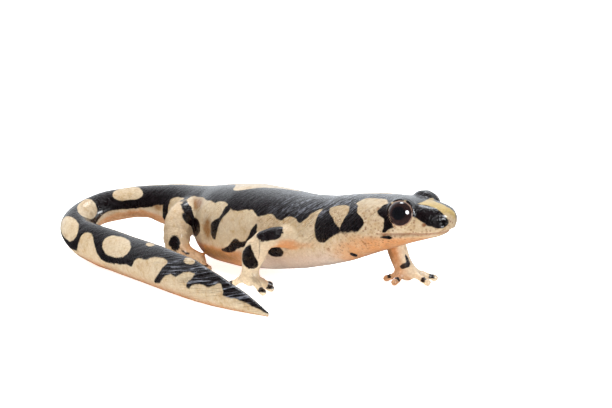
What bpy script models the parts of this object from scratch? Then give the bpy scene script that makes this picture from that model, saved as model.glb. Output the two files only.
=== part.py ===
"""Spotted newt standing on the floor with its tail curled round its right side, life size.

Lengths are given in shares: hundredths of the newt's length, measured along the body from the snout to the
tip of the tail. UNIT turns a share into metres. +X points forward along the trunk, +Y to the newt's left and
+Z up; the floor is at Z = 0. A place along the body is named by its station, the distance from the snout.
"""
import math

import bmesh
import bpy
import numpy as np

LENGTH = 0.118
UNIT = LENGTH / 100
GAP = 0.0003 / UNIT
ORIGIN = (-10.831, -2.874)

# Station and direction of travel from snout to tail tip, in degrees in plan.
HEADING = [
    (-1, 198), (10, 198), (13, 195), (17, 184), (22, 179), (30, 178), (36, 177), (40, 182), (46, 204),
    (49, 214), (51, 218), (53, 232), (57, 285), (61, 353), (66, 361), (72, 351), (80, 349), (87, 352),
    (95, 366), (101, 366),
]
SNOUT = (16.2, 3.6)
STEP = 0.25
SMOOTHING = 13

# Station, half width, top, underside and side curve exponent (below 1 boxy, above 1 keeled).
SECTION = [
    (0.4, 0.35, 10.45, 9.4, 0.9), (0.6, 1.0, 10.8, 8.95, 0.85), (0.9, 1.55, 11.05, 8.6, 0.82),
    (1.35, 2.05, 11.25, 8.3, 0.8), (2.0, 2.5, 11.45, 8.0, 0.8), (3.2, 3.1, 11.7, 7.55, 0.8),
    (5.0, 3.75, 11.9, 7.0, 0.8), (7.0, 4.35, 11.95, 6.3, 0.8), (10.0, 4.8, 11.95, 5.2, 0.8),
    (13.0, 4.3, 11.65, 4.0, 0.82), (16.0, 3.95, 11.1, 3.1, 0.85), (20.0, 4.1, 10.75, 2.1, 0.85),
    (25.0, 4.6, 10.8, 1.2, 0.85), (30.0, 4.9, 10.7, 0.6, 0.85), (34.5, 4.7, 10.05, 0.6, 0.85),
    (36.2, 4.2, 9.75, 0.65, 0.87), (37.4, 3.8, 9.5, 1.0, 0.9), (38.7, 3.45, 9.3, 3.1, 0.92),
    (40.5, 3.1, 9.1, 3.5, 0.95),
    (43.0, 2.8, 8.95, 3.6, 1.0), (45.0, 2.55, 8.8, 3.5, 1.05), (46.5, 2.4, 8.6, 3.8, 1.1),
    (48.0, 2.3, 8.45, 4.4, 1.1),
    (50.0, 2.2, 8.2, 4.3, 1.15), (54.0, 2.1, 7.5, 3.5, 1.2), (58.0, 2.1, 6.3, 2.0, 1.25),
    (62.0, 2.05, 5.2, 0.5, 1.25), (65.8, 2.0, 4.95, -0.1, 1.25), (71.7, 1.9, 4.7, -0.45, 1.2),
    (79.5, 1.6, 4.8, -0.5, 1.2), (87.2, 1.3, 4.6, -0.5, 1.15), (92.1, 1.0, 3.55, -0.4, 1.1),
    (96.0, 0.7, 2.3, -0.25, 1.05), (98.4, 0.4, 1.2, -0.15, 1.0), (99.9, 0.18, 0.42, -0.05, 1.0),
]

# Body lengths: name, first and last station, ring spacing, points in a ring and colour.
BODY = [
    ("neck", 12.4, 15.4, 1.0, 26, "cream"), ("torso_front", 15.4, 23.5, 1.25, 26, "black"),
    ("torso_middle", 23.5, 31.5, 1.3, 26, "black"), ("torso_rear", 31.5, 38.0, 1.1, 26, "cream"),
    ("pelvis", 38.0, 44.5, 0.95, 24, "black"), ("tail_root", 44.5, 51.0, 1.0, 20, "black"),
    ("tail_bend_far", 51.0, 55.4, 0.65, 20, "cream"), ("tail_bend_left", 55.4, 59.4, 0.6, 20, "cream"),
    ("tail_bend_near", 59.4, 63.8, 0.65, 20, "black"), ("tail_side", 63.8, 73.0, 1.4, 20, "cream"),
    ("tail_middle", 73.0, 82.0, 1.4, 20, "black"), ("tail_rear", 82.0, 91.0, 1.4, 18, "black"),
    ("tail_tip", 91.0, 99.9, 1.1, 16, "cream"),
]
HEAD_END = 12.4

# Head, in station, distance to the side and height.
EYE_CENTRE = (5.45, 3.0, 10.6)
EYE_AXIS = (-0.25, 0.95, 0.2)
EYE_RADIUS = 1.32
EYE_OUT = 0.2
LID_CENTRE = (5.42, 3.1, 10.72)
LID_RADIUS = 1.76
LID_OPENING = 1.25
NOSTRIL = (1.2, 1.5, 9.62)
NOSTRIL_AXIS = (-0.75, 0.66, 0.0)
NOSTRIL_RADIUS = 0.2
MOUTH = [(-2.0, 8.95), (0.3, 8.85), (1.0, 8.55), (2.4, 8.38), (4.2, 8.42), (6.0, 8.32), (8.0, 8.3)]
MOUTH_CORNER = 7.9
JAW_BACK = [(8.3, 8.0), (8.6, 7.0), (8.9, 3.0)]
LIP_RADIUS = 0.26
LIP_RISE = 0.36
LIP_SINK = 0.1

# Limb paths from inside the body to the wrist or ankle: (x, y, z), radius.
ARM_RIGHT = [
    ((-0.6, -1.4, 6.0), 1.7), ((-1.9, -4.6, 6.4), 1.45), ((-3.8, -7.5, 6.5), 1.05), ((-5.0, -8.15, 4.5), 1.55),
    ((-5.75, -8.0, 2.6), 0.98), ((-5.85, -8.0, 1.5), 1.1),
]
ARM_LEFT = [
    ((0.8, 1.4, 5.8), 1.75), ((0.5, 4.8, 6.0), 1.55), ((-0.5, 9.2, 6.7), 1.26), ((2.1, 8.5, 2.4), 1.16),
    ((3.1, 8.7, 1.2), 1.15),
]
LEG_RIGHT = [
    ((-22.2, -0.8, 5.9), 2.1), ((-22.4, -4.9, 6.2), 2.0), ((-20.3, -7.5, 2.4), 1.45), ((-19.0, -5.5, 1.25), 1.1),
    ((-18.7, -5.3, 1.15), 1.05),
]
LEG_LEFT = [
    ((-22.6, 0.0, 5.9), 2.1), ((-23.4, 3.0, 5.8), 1.9), ((-26.0, 7.7, 5.6), 1.4), ((-27.9, 7.0, 1.9), 1.15),
    ((-27.7, 7.5, 0.95), 1.05),
]
# Palm or sole: centre, half sizes and turn; then each digit's tip from the centre and the knuckle's height.
HAND_RIGHT = {
    "pad": ((-5.9, -8.0, 1.5), (1.45, 1.05, 0.7), 0.0),
    "tips": [(0.7, 2.5), (2.4, 1.2), (3.3, -0.8), (-2.7, -0.5)],
    "knuckle": 1.15,
}
HAND_LEFT = {
    "pad": ((3.2, 8.7, 1.2), (1.35, 1.35, 0.75), 0.0),
    "tips": [(-1.9, -1.7), (0.4, -2.6), (3.1, 0.2), (1.8, 2.7)],
    "knuckle": 1.0,
}
FOOT_RIGHT = {
    "pad": ((-18.8, -5.3, 0.95), (1.25, 1.15, 0.95), 8.0),
    "tips": [(1.9, 0.3), (2.4, -0.5), (2.2, -1.4), (1.6, -2.2), (0.5, -2.3)],
    "knuckle": 0.85,
}
FOOT_LEFT = {
    "pad": ((-27.3, 7.6, 0.8), (1.3, 1.5, 0.85), 50.0),
    "tips": [(2.5, -0.6), (2.9, 1.0), (2.4, 2.4), (1.0, 3.0), (-0.9, 2.4)],
    "knuckle": 0.85,
}
DIGIT_RADIUS = (0.56, 0.44, 0.4, 0.42)

COLOURS = {
    "cream": ((0.72, 0.55, 0.36), 0.34, 0.0),
    "black": ((0.016, 0.012, 0.016), 0.26, 0.0),
    "peach": ((0.74, 0.42, 0.22), 0.34, 0.0),
    "eye": ((0.006, 0.005, 0.005), 0.05, 0.0),
}


def build_spine():
    """Plan positions and headings every STEP along the body, from the smoothed heading table."""
    stations = np.arange(0.0, 101.0, STEP)
    table = np.array(HEADING, dtype=float)
    heading = np.interp(stations, table[:, 0], table[:, 1])
    half = SMOOTHING // 2
    heading = np.convolve(np.pad(heading, half, mode="edge"), np.ones(SMOOTHING) / SMOOTHING, mode="valid")
    heading = np.radians(heading)
    x = SNOUT[0] + np.concatenate([[0.0], np.cumsum(np.cos(heading[:-1]) * STEP)])
    y = SNOUT[1] + np.concatenate([[0.0], np.cumsum(np.sin(heading[:-1]) * STEP)])
    return stations, heading, x, y


SPINE = build_spine()


def spine_at(station):
    """Plan position and heading at a station; stations before the snout run straight on."""
    stations, heading, x, y = SPINE
    angle = float(np.interp(station, stations, heading))
    if station < 0:
        return x[0] + math.cos(angle) * station, y[0] + math.sin(angle) * station, angle
    return float(np.interp(station, stations, x)), float(np.interp(station, stations, y)), angle


def body_point(station, side, height):
    """A point from its station, its distance to the newt's right and its height."""
    x, y, angle = spine_at(station)
    return np.array([x - math.sin(angle) * side, y + math.cos(angle) * side, height])


def section_at(station):
    """Half width, top, underside and side exponent at a station, eased between the rows of SECTION."""
    table = np.array(SECTION, dtype=float)
    width, window = [], np.linspace(-0.5, 0.5, 5) * min(1.0, max(station, 0.0) * 0.4)
    for column in range(1, 5):
        width.append(float(np.mean(np.interp(station + window, table[:, 0], table[:, column]))))
    return width


def ring(station, count, grow=0.0):
    """Closed ring of points round the body, square to it, each kept on or above the floor."""
    half, top, under, power = section_at(station)
    middle, tall = (top + under) / 2, (top - under) / 2
    angle = np.linspace(0.0, 2 * math.pi, count, endpoint=False) + math.pi / count
    across = (half + grow) * np.sign(np.cos(angle)) * np.abs(np.cos(angle)) ** power
    rise = (tall + grow) * np.sign(np.sin(angle)) * np.abs(np.sin(angle)) ** min(power, 1.0)
    x, y, heading = spine_at(station)
    points = np.stack([
        x - math.sin(heading) * across, y + math.cos(heading) * across, np.maximum(middle + rise, 0.0)
    ], axis=-1)
    return points


def to_world(points):
    """Metres in the part's frame from shares."""
    points = np.asarray(points, dtype=float)
    return (points - np.array([ORIGIN[0], ORIGIN[1], 0.0])) * UNIT


def make_mesh(name, points, faces):
    """A new object from points in shares and faces, its normals made to face out."""
    mesh = bpy.data.meshes.new(name)
    mesh.from_pydata([tuple(p) for p in to_world(points)], [], faces)
    work = bmesh.new()
    work.from_mesh(mesh)
    bmesh.ops.recalc_face_normals(work, faces=work.faces)
    if work.calc_volume(signed=True) < 0:
        bmesh.ops.reverse_faces(work, faces=work.faces)
    work.to_mesh(mesh)
    work.free()
    thing = bpy.data.objects.new(name, mesh)
    bpy.context.scene.collection.objects.link(thing)
    return thing


def loft(name, rings):
    """Closed body through rings with equal point counts, a fan at each end."""
    count = len(rings[0])
    points = np.concatenate(rings + [rings[0].mean(axis=0)[None], rings[-1].mean(axis=0)[None]])
    faces = []
    for level in range(len(rings) - 1):
        for i in range(count):
            j = (i + 1) % count
            a, b = level * count, (level + 1) * count
            faces.append((a + i, a + j, b + j, b + i))
    first, last = len(rings) * count, len(rings) * count + 1
    top = (len(rings) - 1) * count
    for i in range(count):
        j = (i + 1) % count
        faces.append((j, i, first))
        faces.append((top + i, top + j, last))
    return make_mesh(name, points, faces)


def body_length(name, start, end, spacing, count, grow=0.0):
    """Length of the body between two stations, its ends square to the spine."""
    steps = max(2, round((end - start) / spacing))
    return loft(name, [ring(s, count, grow) for s in np.linspace(start, end, steps + 1)])


def ball(name, centre, radii, turn=0.0, segments=18, rings=12):
    """Ellipsoid with its half sizes along X, Y and Z, turned about Z by degrees."""
    levels = []
    for k in range(1, rings):
        tilt = -math.pi / 2 + math.pi * k / rings
        angle = np.linspace(0.0, 2 * math.pi, segments, endpoint=False)
        flat = np.stack([np.cos(angle) * math.cos(tilt) * radii[0], np.sin(angle) * math.cos(tilt) * radii[1],
                         np.full(segments, math.sin(tilt) * radii[2])], axis=-1)
        levels.append(flat)
    count = segments
    points = np.concatenate(levels + [np.array([[0, 0, -radii[2]]]), np.array([[0, 0, radii[2]]])])
    c, s = math.cos(math.radians(turn)), math.sin(math.radians(turn))
    points = points @ np.array([[c, s, 0], [-s, c, 0], [0, 0, 1]]) + np.array(centre)
    faces = []
    for level in range(len(levels) - 1):
        for i in range(count):
            j = (i + 1) % count
            faces.append((level * count + i, level * count + j, (level + 1) * count + j, (level + 1) * count + i))
    low, high, top = len(levels) * count, len(levels) * count + 1, (len(levels) - 1) * count
    for i in range(count):
        j = (i + 1) % count
        faces.append((j, i, low))
        faces.append((top + i, top + j, high))
    return make_mesh(name, points, faces)


def smooth_path(points, radii, rounds=3):
    """Path with its corners cut again and again, so that it bends smoothly."""
    data = np.column_stack([np.array(points, dtype=float), np.array(radii, dtype=float)])
    for _ in range(rounds):
        near = data[:-1] * 0.75 + data[1:] * 0.25
        far = data[:-1] * 0.25 + data[1:] * 0.75
        middle = np.empty((2 * len(near), data.shape[1]))
        middle[0::2], middle[1::2] = near, far
        data = np.concatenate([data[:1], middle[1:-1], data[-1:]])
    return data


def resample(path, spacing, start=0.0, end=None):
    """Points at even distances along a path between two distances from its start."""
    reach = np.concatenate([[0.0], np.cumsum(np.linalg.norm(np.diff(path[:, :3], axis=0), axis=1))])
    end = reach[-1] if end is None else end
    marks = np.linspace(start, end, max(2, round((end - start) / spacing)) + 1)
    return np.stack([np.interp(marks, reach, path[:, k]) for k in range(path.shape[1])], axis=-1)


def tube(name, path, sides, close_tip=False):
    """Round tube along a path of x, y, z and radius; with close_tip its end is rounded off."""
    points = path[:, :3]
    along = np.gradient(points, axis=0)
    along /= np.linalg.norm(along, axis=1)[:, None]
    first = np.cross(along[0], [0.13, 0.21, 0.97])
    first /= np.linalg.norm(first)
    rings = []
    angle = np.linspace(0.0, 2 * math.pi, sides, endpoint=False)
    for k in range(len(points)):
        first = first - along[k] * (first @ along[k])
        first /= np.linalg.norm(first)
        second = np.cross(along[k], first)
        circle = np.cos(angle)[:, None] * first + np.sin(angle)[:, None] * second
        rings.append(points[k] + circle * path[k, 3])
        if close_tip and k == len(points) - 1:
            for share in (0.55, 0.88):
                reach = path[k, 3] * share
                rings.append(points[k] + along[k] * reach + circle * math.sqrt(path[k, 3] ** 2 - reach ** 2))
    return loft(name, rings)


def prism(name, outline, half_width):
    """Slab across the head from an outline of stations and heights."""
    count = len(outline)
    points = [body_point(s, -half_width, z) for s, z in outline] + [body_point(s, half_width, z) for s, z in outline]
    faces = [tuple(range(count)), tuple(range(2 * count - 1, count - 1, -1))]
    for i in range(count):
        j = (i + 1) % count
        faces.append((i, count + i, count + j, j))
    return make_mesh(name, points, faces)


def combine(thing, other, operation, keep=False):
    """Apply an exact Boolean with another object, which is then removed unless it is kept."""
    other.hide_render = True
    other.display_type = "WIRE"
    step = thing.modifiers.new(operation.lower(), "BOOLEAN")
    step.operation = operation
    step.solver = "EXACT"
    step.object = other
    bpy.context.view_layer.update()
    shape = bpy.data.meshes.new_from_object(thing.evaluated_get(bpy.context.evaluated_depsgraph_get()))
    thing.modifiers.clear()
    old = thing.data
    thing.data = shape
    bpy.data.meshes.remove(old)
    work = bmesh.new()
    work.from_mesh(shape)
    bmesh.ops.remove_doubles(work, verts=work.verts, dist=0.000004)
    bmesh.ops.dissolve_degenerate(work, edges=work.edges, dist=0.000002)
    work.to_mesh(shape)
    work.free()
    if not keep:
        bpy.data.objects.remove(other)
    return thing


def copy_of(thing, name):
    """Separate copy of an object with its own mesh."""
    twin = bpy.data.objects.new(name, thing.data.copy())
    bpy.context.scene.collection.objects.link(twin)
    return twin


def tidy(thing, floor=False):
    """Merge points that coincide, keep the body on the floor and dissolve slivers."""
    work = bmesh.new()
    work.from_mesh(thing.data)
    if floor:
        for vert in work.verts:
            vert.co.z = max(vert.co.z, 0.0)
    bmesh.ops.remove_doubles(work, verts=work.verts, dist=0.000008)
    bmesh.ops.dissolve_degenerate(work, edges=work.edges, dist=0.000004)
    bmesh.ops.delete(work, geom=[edge for edge in work.edges if not edge.link_faces], context="EDGES")
    bmesh.ops.triangulate(work, faces=work.faces)
    bmesh.ops.recalc_face_normals(work, faces=work.faces)
    if work.calc_volume(signed=True) < 0:
        bmesh.ops.reverse_faces(work, faces=work.faces)
    work.to_mesh(thing.data)
    work.free()


def paint(thing, colour):
    """Give a node its own material and smooth shading."""
    base, roughness, metallic = COLOURS[colour]
    finish = bpy.data.materials.new(thing.name)
    finish.use_nodes = True
    shader = finish.node_tree.nodes["Principled BSDF"]
    shader.inputs["Base Color"].default_value = (*base, 1.0)
    shader.inputs["Roughness"].default_value = roughness
    shader.inputs["Metallic"].default_value = metallic
    finish.diffuse_color = (*base, 1.0)
    thing.data.materials.clear()
    thing.data.materials.append(finish)
    for face in thing.data.polygons:
        face.use_smooth = True


def mouth_outline(offset):
    """Outline, in stations and heights, of all that lies under the line of the mouth."""
    line = [(s, z + offset) for s, z in MOUTH]
    back = [(s + offset, z) for s, z in JAW_BACK]
    return line + back + [(-2.0, 3.0)]


def lip_path(rise):
    """Path of a lip along the mouth from the right corner round the snout to the left corner."""
    table = np.array(MOUTH)
    stations = np.concatenate([np.linspace(MOUTH_CORNER, 1.2, 24), np.linspace(1.15, 0.5, 30)])
    side = []
    for station in stations:
        half, top, under, power = section_at(station)
        height = float(np.interp(station, table[:, 0], table[:, 1])) + rise
        share = (height - (top + under) / 2) / ((top - under) / 2)
        if abs(share) >= 1:
            break
        lean = math.asin(abs(share) ** (1 / power))
        side.append((station, half * math.cos(lean) ** power - LIP_SINK, height))
    side = [row for row in side if row[1] > 0.25]
    right = [body_point(s, y, z) for s, y, z in side]
    left = [body_point(s, -y, z) for s, y, z in reversed(side)]
    path = resample(np.array([(*p, LIP_RADIUS) for p in right + left]), 0.3)
    for _ in range(4):
        path[1:-1] = (path[:-2] + path[1:-1] * 2 + path[2:]) / 4
    path = resample(path, 0.62)
    fade = np.clip(np.minimum(np.arange(len(path)), np.arange(len(path))[::-1]) / 4, 0.25, 1.0)
    path[:, 3] *= fade
    return path


def build_head():
    """Head, lower jaw and both eyes."""
    stations = np.concatenate([[0.4, 0.5, 0.62], np.arange(0.7, 9.0, 0.65), np.linspace(9.5, HEAD_END - GAP / 2, 4)])
    skull = loft("skull", [ring(s, 32) for s in stations])
    for side in (1, -1):
        s, y, z = LID_CENTRE
        centre = body_point(s, side * y, z)
        combine(skull, ball("lid", centre, (LID_RADIUS,) * 3, 18.0, 20, 12), "UNION")
    for rise in (LIP_RISE, -LIP_RISE):
        combine(skull, tube("lip", lip_path(rise), 7), "UNION")
    for side in (1, -1):
        s, y, z = NOSTRIL
        a = body_point(s, side * y, z)
        b = body_point(s + NOSTRIL_AXIS[0], side * (y + NOSTRIL_AXIS[1]), z)
        along = (b - a) / np.linalg.norm(b - a)
        path = np.array([(*(a - along * 0.35), NOSTRIL_RADIUS), (*(a + along * 1.2), NOSTRIL_RADIUS * 1.3)])
        combine(skull, tube("nostril", path, 8), "DIFFERENCE")
    jaw = copy_of(skull, "lower_jaw")
    combine(jaw, prism("under_mouth", mouth_outline(-GAP / 2), 9.0), "INTERSECT")
    head = skull
    head.name = "head"
    head.data.name = "head"
    combine(head, prism("mouth_space", mouth_outline(GAP / 2), 9.0), "DIFFERENCE")
    eyes = []
    for side, name in ((1, "eye_right"), (-1, "eye_left")):
        s, y, z = EYE_CENTRE
        axis = np.array(EYE_AXIS) / np.linalg.norm(EYE_AXIS)
        out = np.array([axis[0], axis[1], axis[2]]) * EYE_OUT
        centre = body_point(s + out[0], side * (y + out[1]), z + out[2])
        tip = body_point(s + axis[0] * 4, side * (y + axis[1] * 4), z + axis[2] * 4)
        along = (tip - centre) / np.linalg.norm(tip - centre)
        combine(head, ball("socket", centre, (EYE_RADIUS + GAP * 1.02,) * 3, 18.0, 20, 14), "DIFFERENCE")
        path = np.array([(*(centre + along * 0.6), LID_OPENING), (*(centre + along * 3.0), LID_OPENING * 1.5)])
        combine(head, tube("opening", path, 20), "DIFFERENCE")
        eyes.append(ball(name, centre, (EYE_RADIUS,) * 3, 18.0, 20, 12))
    return head, jaw, eyes


def at_distance(path, distance):
    """Point and direction of a path at a distance from its start."""
    near, far = resample(path, 1.0, distance - 0.15, distance + 0.15)[[0, -1], :3]
    along = (far - near) / np.linalg.norm(far - near)
    return (near + far) / 2, along


def bend_of(path, reach):
    """Distance along a limb at which its direction is halfway through its bend."""
    upper, lower = at_distance(path, reach * 0.3)[1], at_distance(path, reach * 0.82)[1]
    marks = np.linspace(reach * 0.35, reach * 0.8, 40)
    lean = [abs(at_distance(path, mark)[1] @ (upper - lower)) for mark in marks]
    return float(marks[int(np.argmin(lean))])


def slab(name, point, along, size=4.2):
    """Box with one face square to a direction at a point, lying beyond it."""
    first = np.cross(along, [0.83, 0.47, 0.29])
    first /= np.linalg.norm(first)
    second = np.cross(along, first)
    points = []
    for depth in (0.0, size * 0.8):
        for a, b in ((-1, -1), (1, -1), (1, 1), (-1, 1)):
            points.append(point + along * depth + (first * a + second * b) * size)
    faces = [(0, 1, 2, 3), (7, 6, 5, 4), (0, 4, 5, 1), (1, 5, 6, 2), (2, 6, 7, 3), (3, 7, 4, 0)]
    return make_mesh(name, points, faces)


def limb_lengths(names, path, end, grown, sides=13):
    """Upper and lower length of a limb, parted square to it, the upper one kept off the body."""
    data = smooth_path([p for p, _ in path], [r for _, r in path])
    reach = float(np.sum(np.linalg.norm(np.diff(data[:, :3], axis=0), axis=1)))
    split = bend_of(data, reach)
    middle, along = at_distance(data, split)
    upper = tube(names[0], resample(data, 0.75, 0.0, split + 0.3), sides)
    combine(upper, slab("lower_side", middle - along * GAP / 2, along), "DIFFERENCE")
    combine(upper, body_length("clearance", *grown, 1.1, 28, GAP), "DIFFERENCE")
    lower = tube(names[1], resample(data, 0.7, split - 0.3, end * reach - GAP / 2), sides)
    combine(lower, slab("upper_side", middle + along * GAP / 2, -along), "DIFFERENCE")
    rest = resample(data, 0.6, end * reach + GAP / 2, reach)
    above = resample(data, 0.7, split, end * reach + GAP / 2 - 0.01)
    above[:, 3] += GAP
    return upper, lower, rest, above


def build_hand(name, rest, above, shape, sides=13):
    """Palm or sole with its digits, kept clear of the length above it."""
    centre, radii, turn = shape["pad"]
    hand = tube(name, rest, sides)
    combine(hand, ball("pad", centre, radii, turn, 14, 8), "UNION")
    for dx, dy in shape["tips"]:
        reach = math.hypot(dx, dy)
        ux, uy = dx / reach, dy / reach
        start = (centre[0] + ux * 0.5, centre[1] + uy * 0.5, min(centre[2] - 0.1, shape["knuckle"] + 0.1))
        points = [start, (centre[0] + dx * 0.55, centre[1] + dy * 0.55, shape["knuckle"] - 0.1),
                  (centre[0] + dx * 0.8, centre[1] + dy * 0.8, 0.5), (centre[0] + dx, centre[1] + dy, 0.36)]
        path = resample(smooth_path(points, DIGIT_RADIUS, 2), 0.6)
        combine(hand, tube("digit", path[:-1], 7, close_tip=True), "UNION")
    return combine(hand, tube("above", above, sides), "DIFFERENCE")


def build():
    """Every node of the newt."""
    nodes = []
    head, jaw, eyes = build_head()
    nodes += [(head, "cream", False), (jaw, "peach", False), (eyes[0], "eye", False), (eyes[1], "eye", False)]
    for name, start, end, spacing, count, colour in BODY:
        last = end if end > 99 else end - GAP / 2
        nodes.append((body_length(name, start + GAP / 2, last, spacing, count), colour, False))
    limbs = [
        (("upper_arm_right", "forearm_right", "hand_right"), ARM_RIGHT, HAND_RIGHT, 0.9, (12.0, 30.0)),
        (("upper_arm_left", "forearm_left", "hand_left"), ARM_LEFT, HAND_LEFT, 0.9, (12.0, 30.0)),
        (("thigh_right", "shank_right", "foot_right"), LEG_RIGHT, FOOT_RIGHT, 0.9, (33.0, 50.0)),
        (("thigh_left", "shank_left", "foot_left"), LEG_LEFT, FOOT_LEFT, 0.9, (33.0, 50.0)),
    ]
    for names, path, shape, end, grown in limbs:
        upper, lower, rest, above = limb_lengths(names, path, end, grown)
        hand = build_hand(names[2], rest, above, shape)
        nodes += [(upper, "peach", False), (lower, "cream", False), (hand, "peach", True)]
    for thing, colour, floor in nodes:
        tidy(thing, floor)
        paint(thing, colour)


for leftover in list(bpy.data.objects):
    bpy.data.objects.remove(leftover)
build()
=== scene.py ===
"""A spotted newt, life size, standing with its tail curled forward round its right side.

One skin covers the whole animal, and two glossy eyes sit in its lids. Lengths are given in shares,
hundredths of the newt's length along its body. +X points forward along the trunk, +Y to the newt's left
and +Z up, with the floor at Z = 0. A place on the body is named by its station, the distance from the snout
along the body, and by its girth angle in degrees: 0 on the back, 90 on the right flank, -90 on the left
flank and 180 on the belly.
"""

import logging
import math
from collections.abc import Callable
from dataclasses import dataclass, field
from enum import Enum
from typing import Any

import bpy
import numpy as np
from mathutils import Matrix, Vector


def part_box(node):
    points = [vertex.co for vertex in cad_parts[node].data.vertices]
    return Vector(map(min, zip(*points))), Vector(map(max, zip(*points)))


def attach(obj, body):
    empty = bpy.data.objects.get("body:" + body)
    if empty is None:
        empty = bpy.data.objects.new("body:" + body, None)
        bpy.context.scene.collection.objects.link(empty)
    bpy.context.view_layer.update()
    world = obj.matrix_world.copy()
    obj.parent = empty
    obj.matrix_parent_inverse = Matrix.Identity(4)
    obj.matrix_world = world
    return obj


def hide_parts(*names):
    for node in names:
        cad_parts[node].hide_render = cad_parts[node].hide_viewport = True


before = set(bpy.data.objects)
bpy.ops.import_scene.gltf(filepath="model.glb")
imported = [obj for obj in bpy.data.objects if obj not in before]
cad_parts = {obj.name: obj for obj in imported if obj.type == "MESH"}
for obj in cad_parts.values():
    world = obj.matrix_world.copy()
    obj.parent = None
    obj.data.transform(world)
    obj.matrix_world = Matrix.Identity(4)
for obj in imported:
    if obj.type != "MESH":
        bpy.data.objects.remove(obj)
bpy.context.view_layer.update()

LOG = logging.getLogger("newt")
# Length along the body in metres, and one share of it.
LENGTH = 0.118
UNIT = LENGTH / 100
# In shares: a distance out of all reach, and how far from a marking's outline its distance is told.
FAR = 9.0
EDGE_REACH = 1.5

Array = np.ndarray
Outline = tuple[tuple[float, float], ...]


def ease(value: Array, low: float, high: float) -> Array:
    """Rise from 0 at low to 1 at high, level at both ends: t squared times (3 - 2t).

    Args:
        value: Numbers of any shape.
        low: Where the rise starts; it may be above high, and then the curve falls.
        high: Where the rise ends.

    Returns:
        Numbers from 0 to 1 in the same shape.
    """
    share = np.clip((value - low) / (high - low), 0.0, 1.0)
    return share * share * (3 - 2 * share)


def bell(value: Array, centre: float, spread: float) -> Array:
    """Bump of height 1: e to the minus square of the distance from its centre in spreads.

    Args:
        value: Numbers of any shape.
        centre: Where the bump peaks.
        spread: Distance at which it has fallen to 0.37.

    Returns:
        Heights in the same shape.
    """
    return np.exp(-(((value - centre) / spread) ** 2))


def unit(vectors: Array) -> Array:
    """Vectors scaled to length 1 along the last axis."""
    return vectors / np.maximum(np.linalg.norm(vectors, axis=-1, keepdims=True), 1e-9)


def cut_corners(points: Array, rounds: int, closed: bool = False) -> Array:
    """Round a chain of points: each round puts two points on each edge, a quarter and three quarters along.

    Args:
        points: Rows of coordinates, which may carry more columns, such as a radius.
        rounds: How often the corners are cut.
        closed: Whether the chain runs back to its first point.

    Returns:
        The rounded chain; an open one keeps its two end points.
    """
    chain = np.asarray(points, dtype=float)
    for _ in range(rounds):
        ahead = np.roll(chain, -1, axis=0)
        pairs = np.stack([chain * 0.75 + ahead * 0.25, chain * 0.25 + ahead * 0.75], axis=1)
        if closed:
            chain = pairs.reshape(-1, chain.shape[1])
        else:
            chain = np.concatenate([chain[:1], pairs[:-1].reshape(-1, chain.shape[1])[1:-1], chain[-1:]])
    return chain


def space_out(path: Array, spacing: float) -> Array:
    """Points at even distances along a path.

    Args:
        path: Rows that start with x, y, z.
        spacing: Distance between the new points.

    Returns:
        Rows at even distances, every column read off in proportion.
    """
    steps = np.linalg.norm(np.diff(path[:, :3], axis=0), axis=1)
    reach = np.concatenate([[0.0], np.cumsum(steps)])
    marks = np.linspace(0.0, reach[-1], max(3, round(reach[-1] / spacing) + 1))
    return np.stack([np.interp(marks, reach, column) for column in path.T], axis=-1)


def full_turn(count: int) -> Array:
    """Angles round a full turn in even steps, the last one a step short of the first."""
    return np.linspace(0.0, 2 * math.pi, count, endpoint=False)


def nearest_rows(points: Array, line: Array) -> Array:
    """Number of the line's row that lies nearest to each point, found block by block.

    Args:
        points: Rows of coordinates.
        line: Rows of as many coordinates.

    Returns:
        One row number for each point.
    """
    blocks = np.array_split(points, len(points) // 8192 + 1)
    return np.concatenate([((block[:, None] - line) ** 2).sum(axis=-1).argmin(axis=1) for block in blocks])


def link(name: str, data: Any) -> bpy.types.Object:
    """Link a new object with its data to the scene.

    Args:
        name: Name of the object.
        data: Its mesh, light or camera.

    Returns:
        The object.
    """
    thing = bpy.data.objects.new(name, data)
    bpy.context.scene.collection.objects.link(thing)
    return thing


def carry(mesh: bpy.types.Mesh, name: str, values: Array) -> None:
    """Let the mesh carry a number or a vector for each of its points under a name.

    Args:
        mesh: The mesh.
        name: The name that the material asks for.
        values: A number or a row for each point.
    """
    kind, slot = ("FLOAT_VECTOR", "vector") if values.ndim == 2 else ("FLOAT", "value")
    layer = mesh.attributes.new(name, kind, "POINT")
    layer.data.foreach_set(slot, values.astype(np.float32).ravel())


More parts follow.
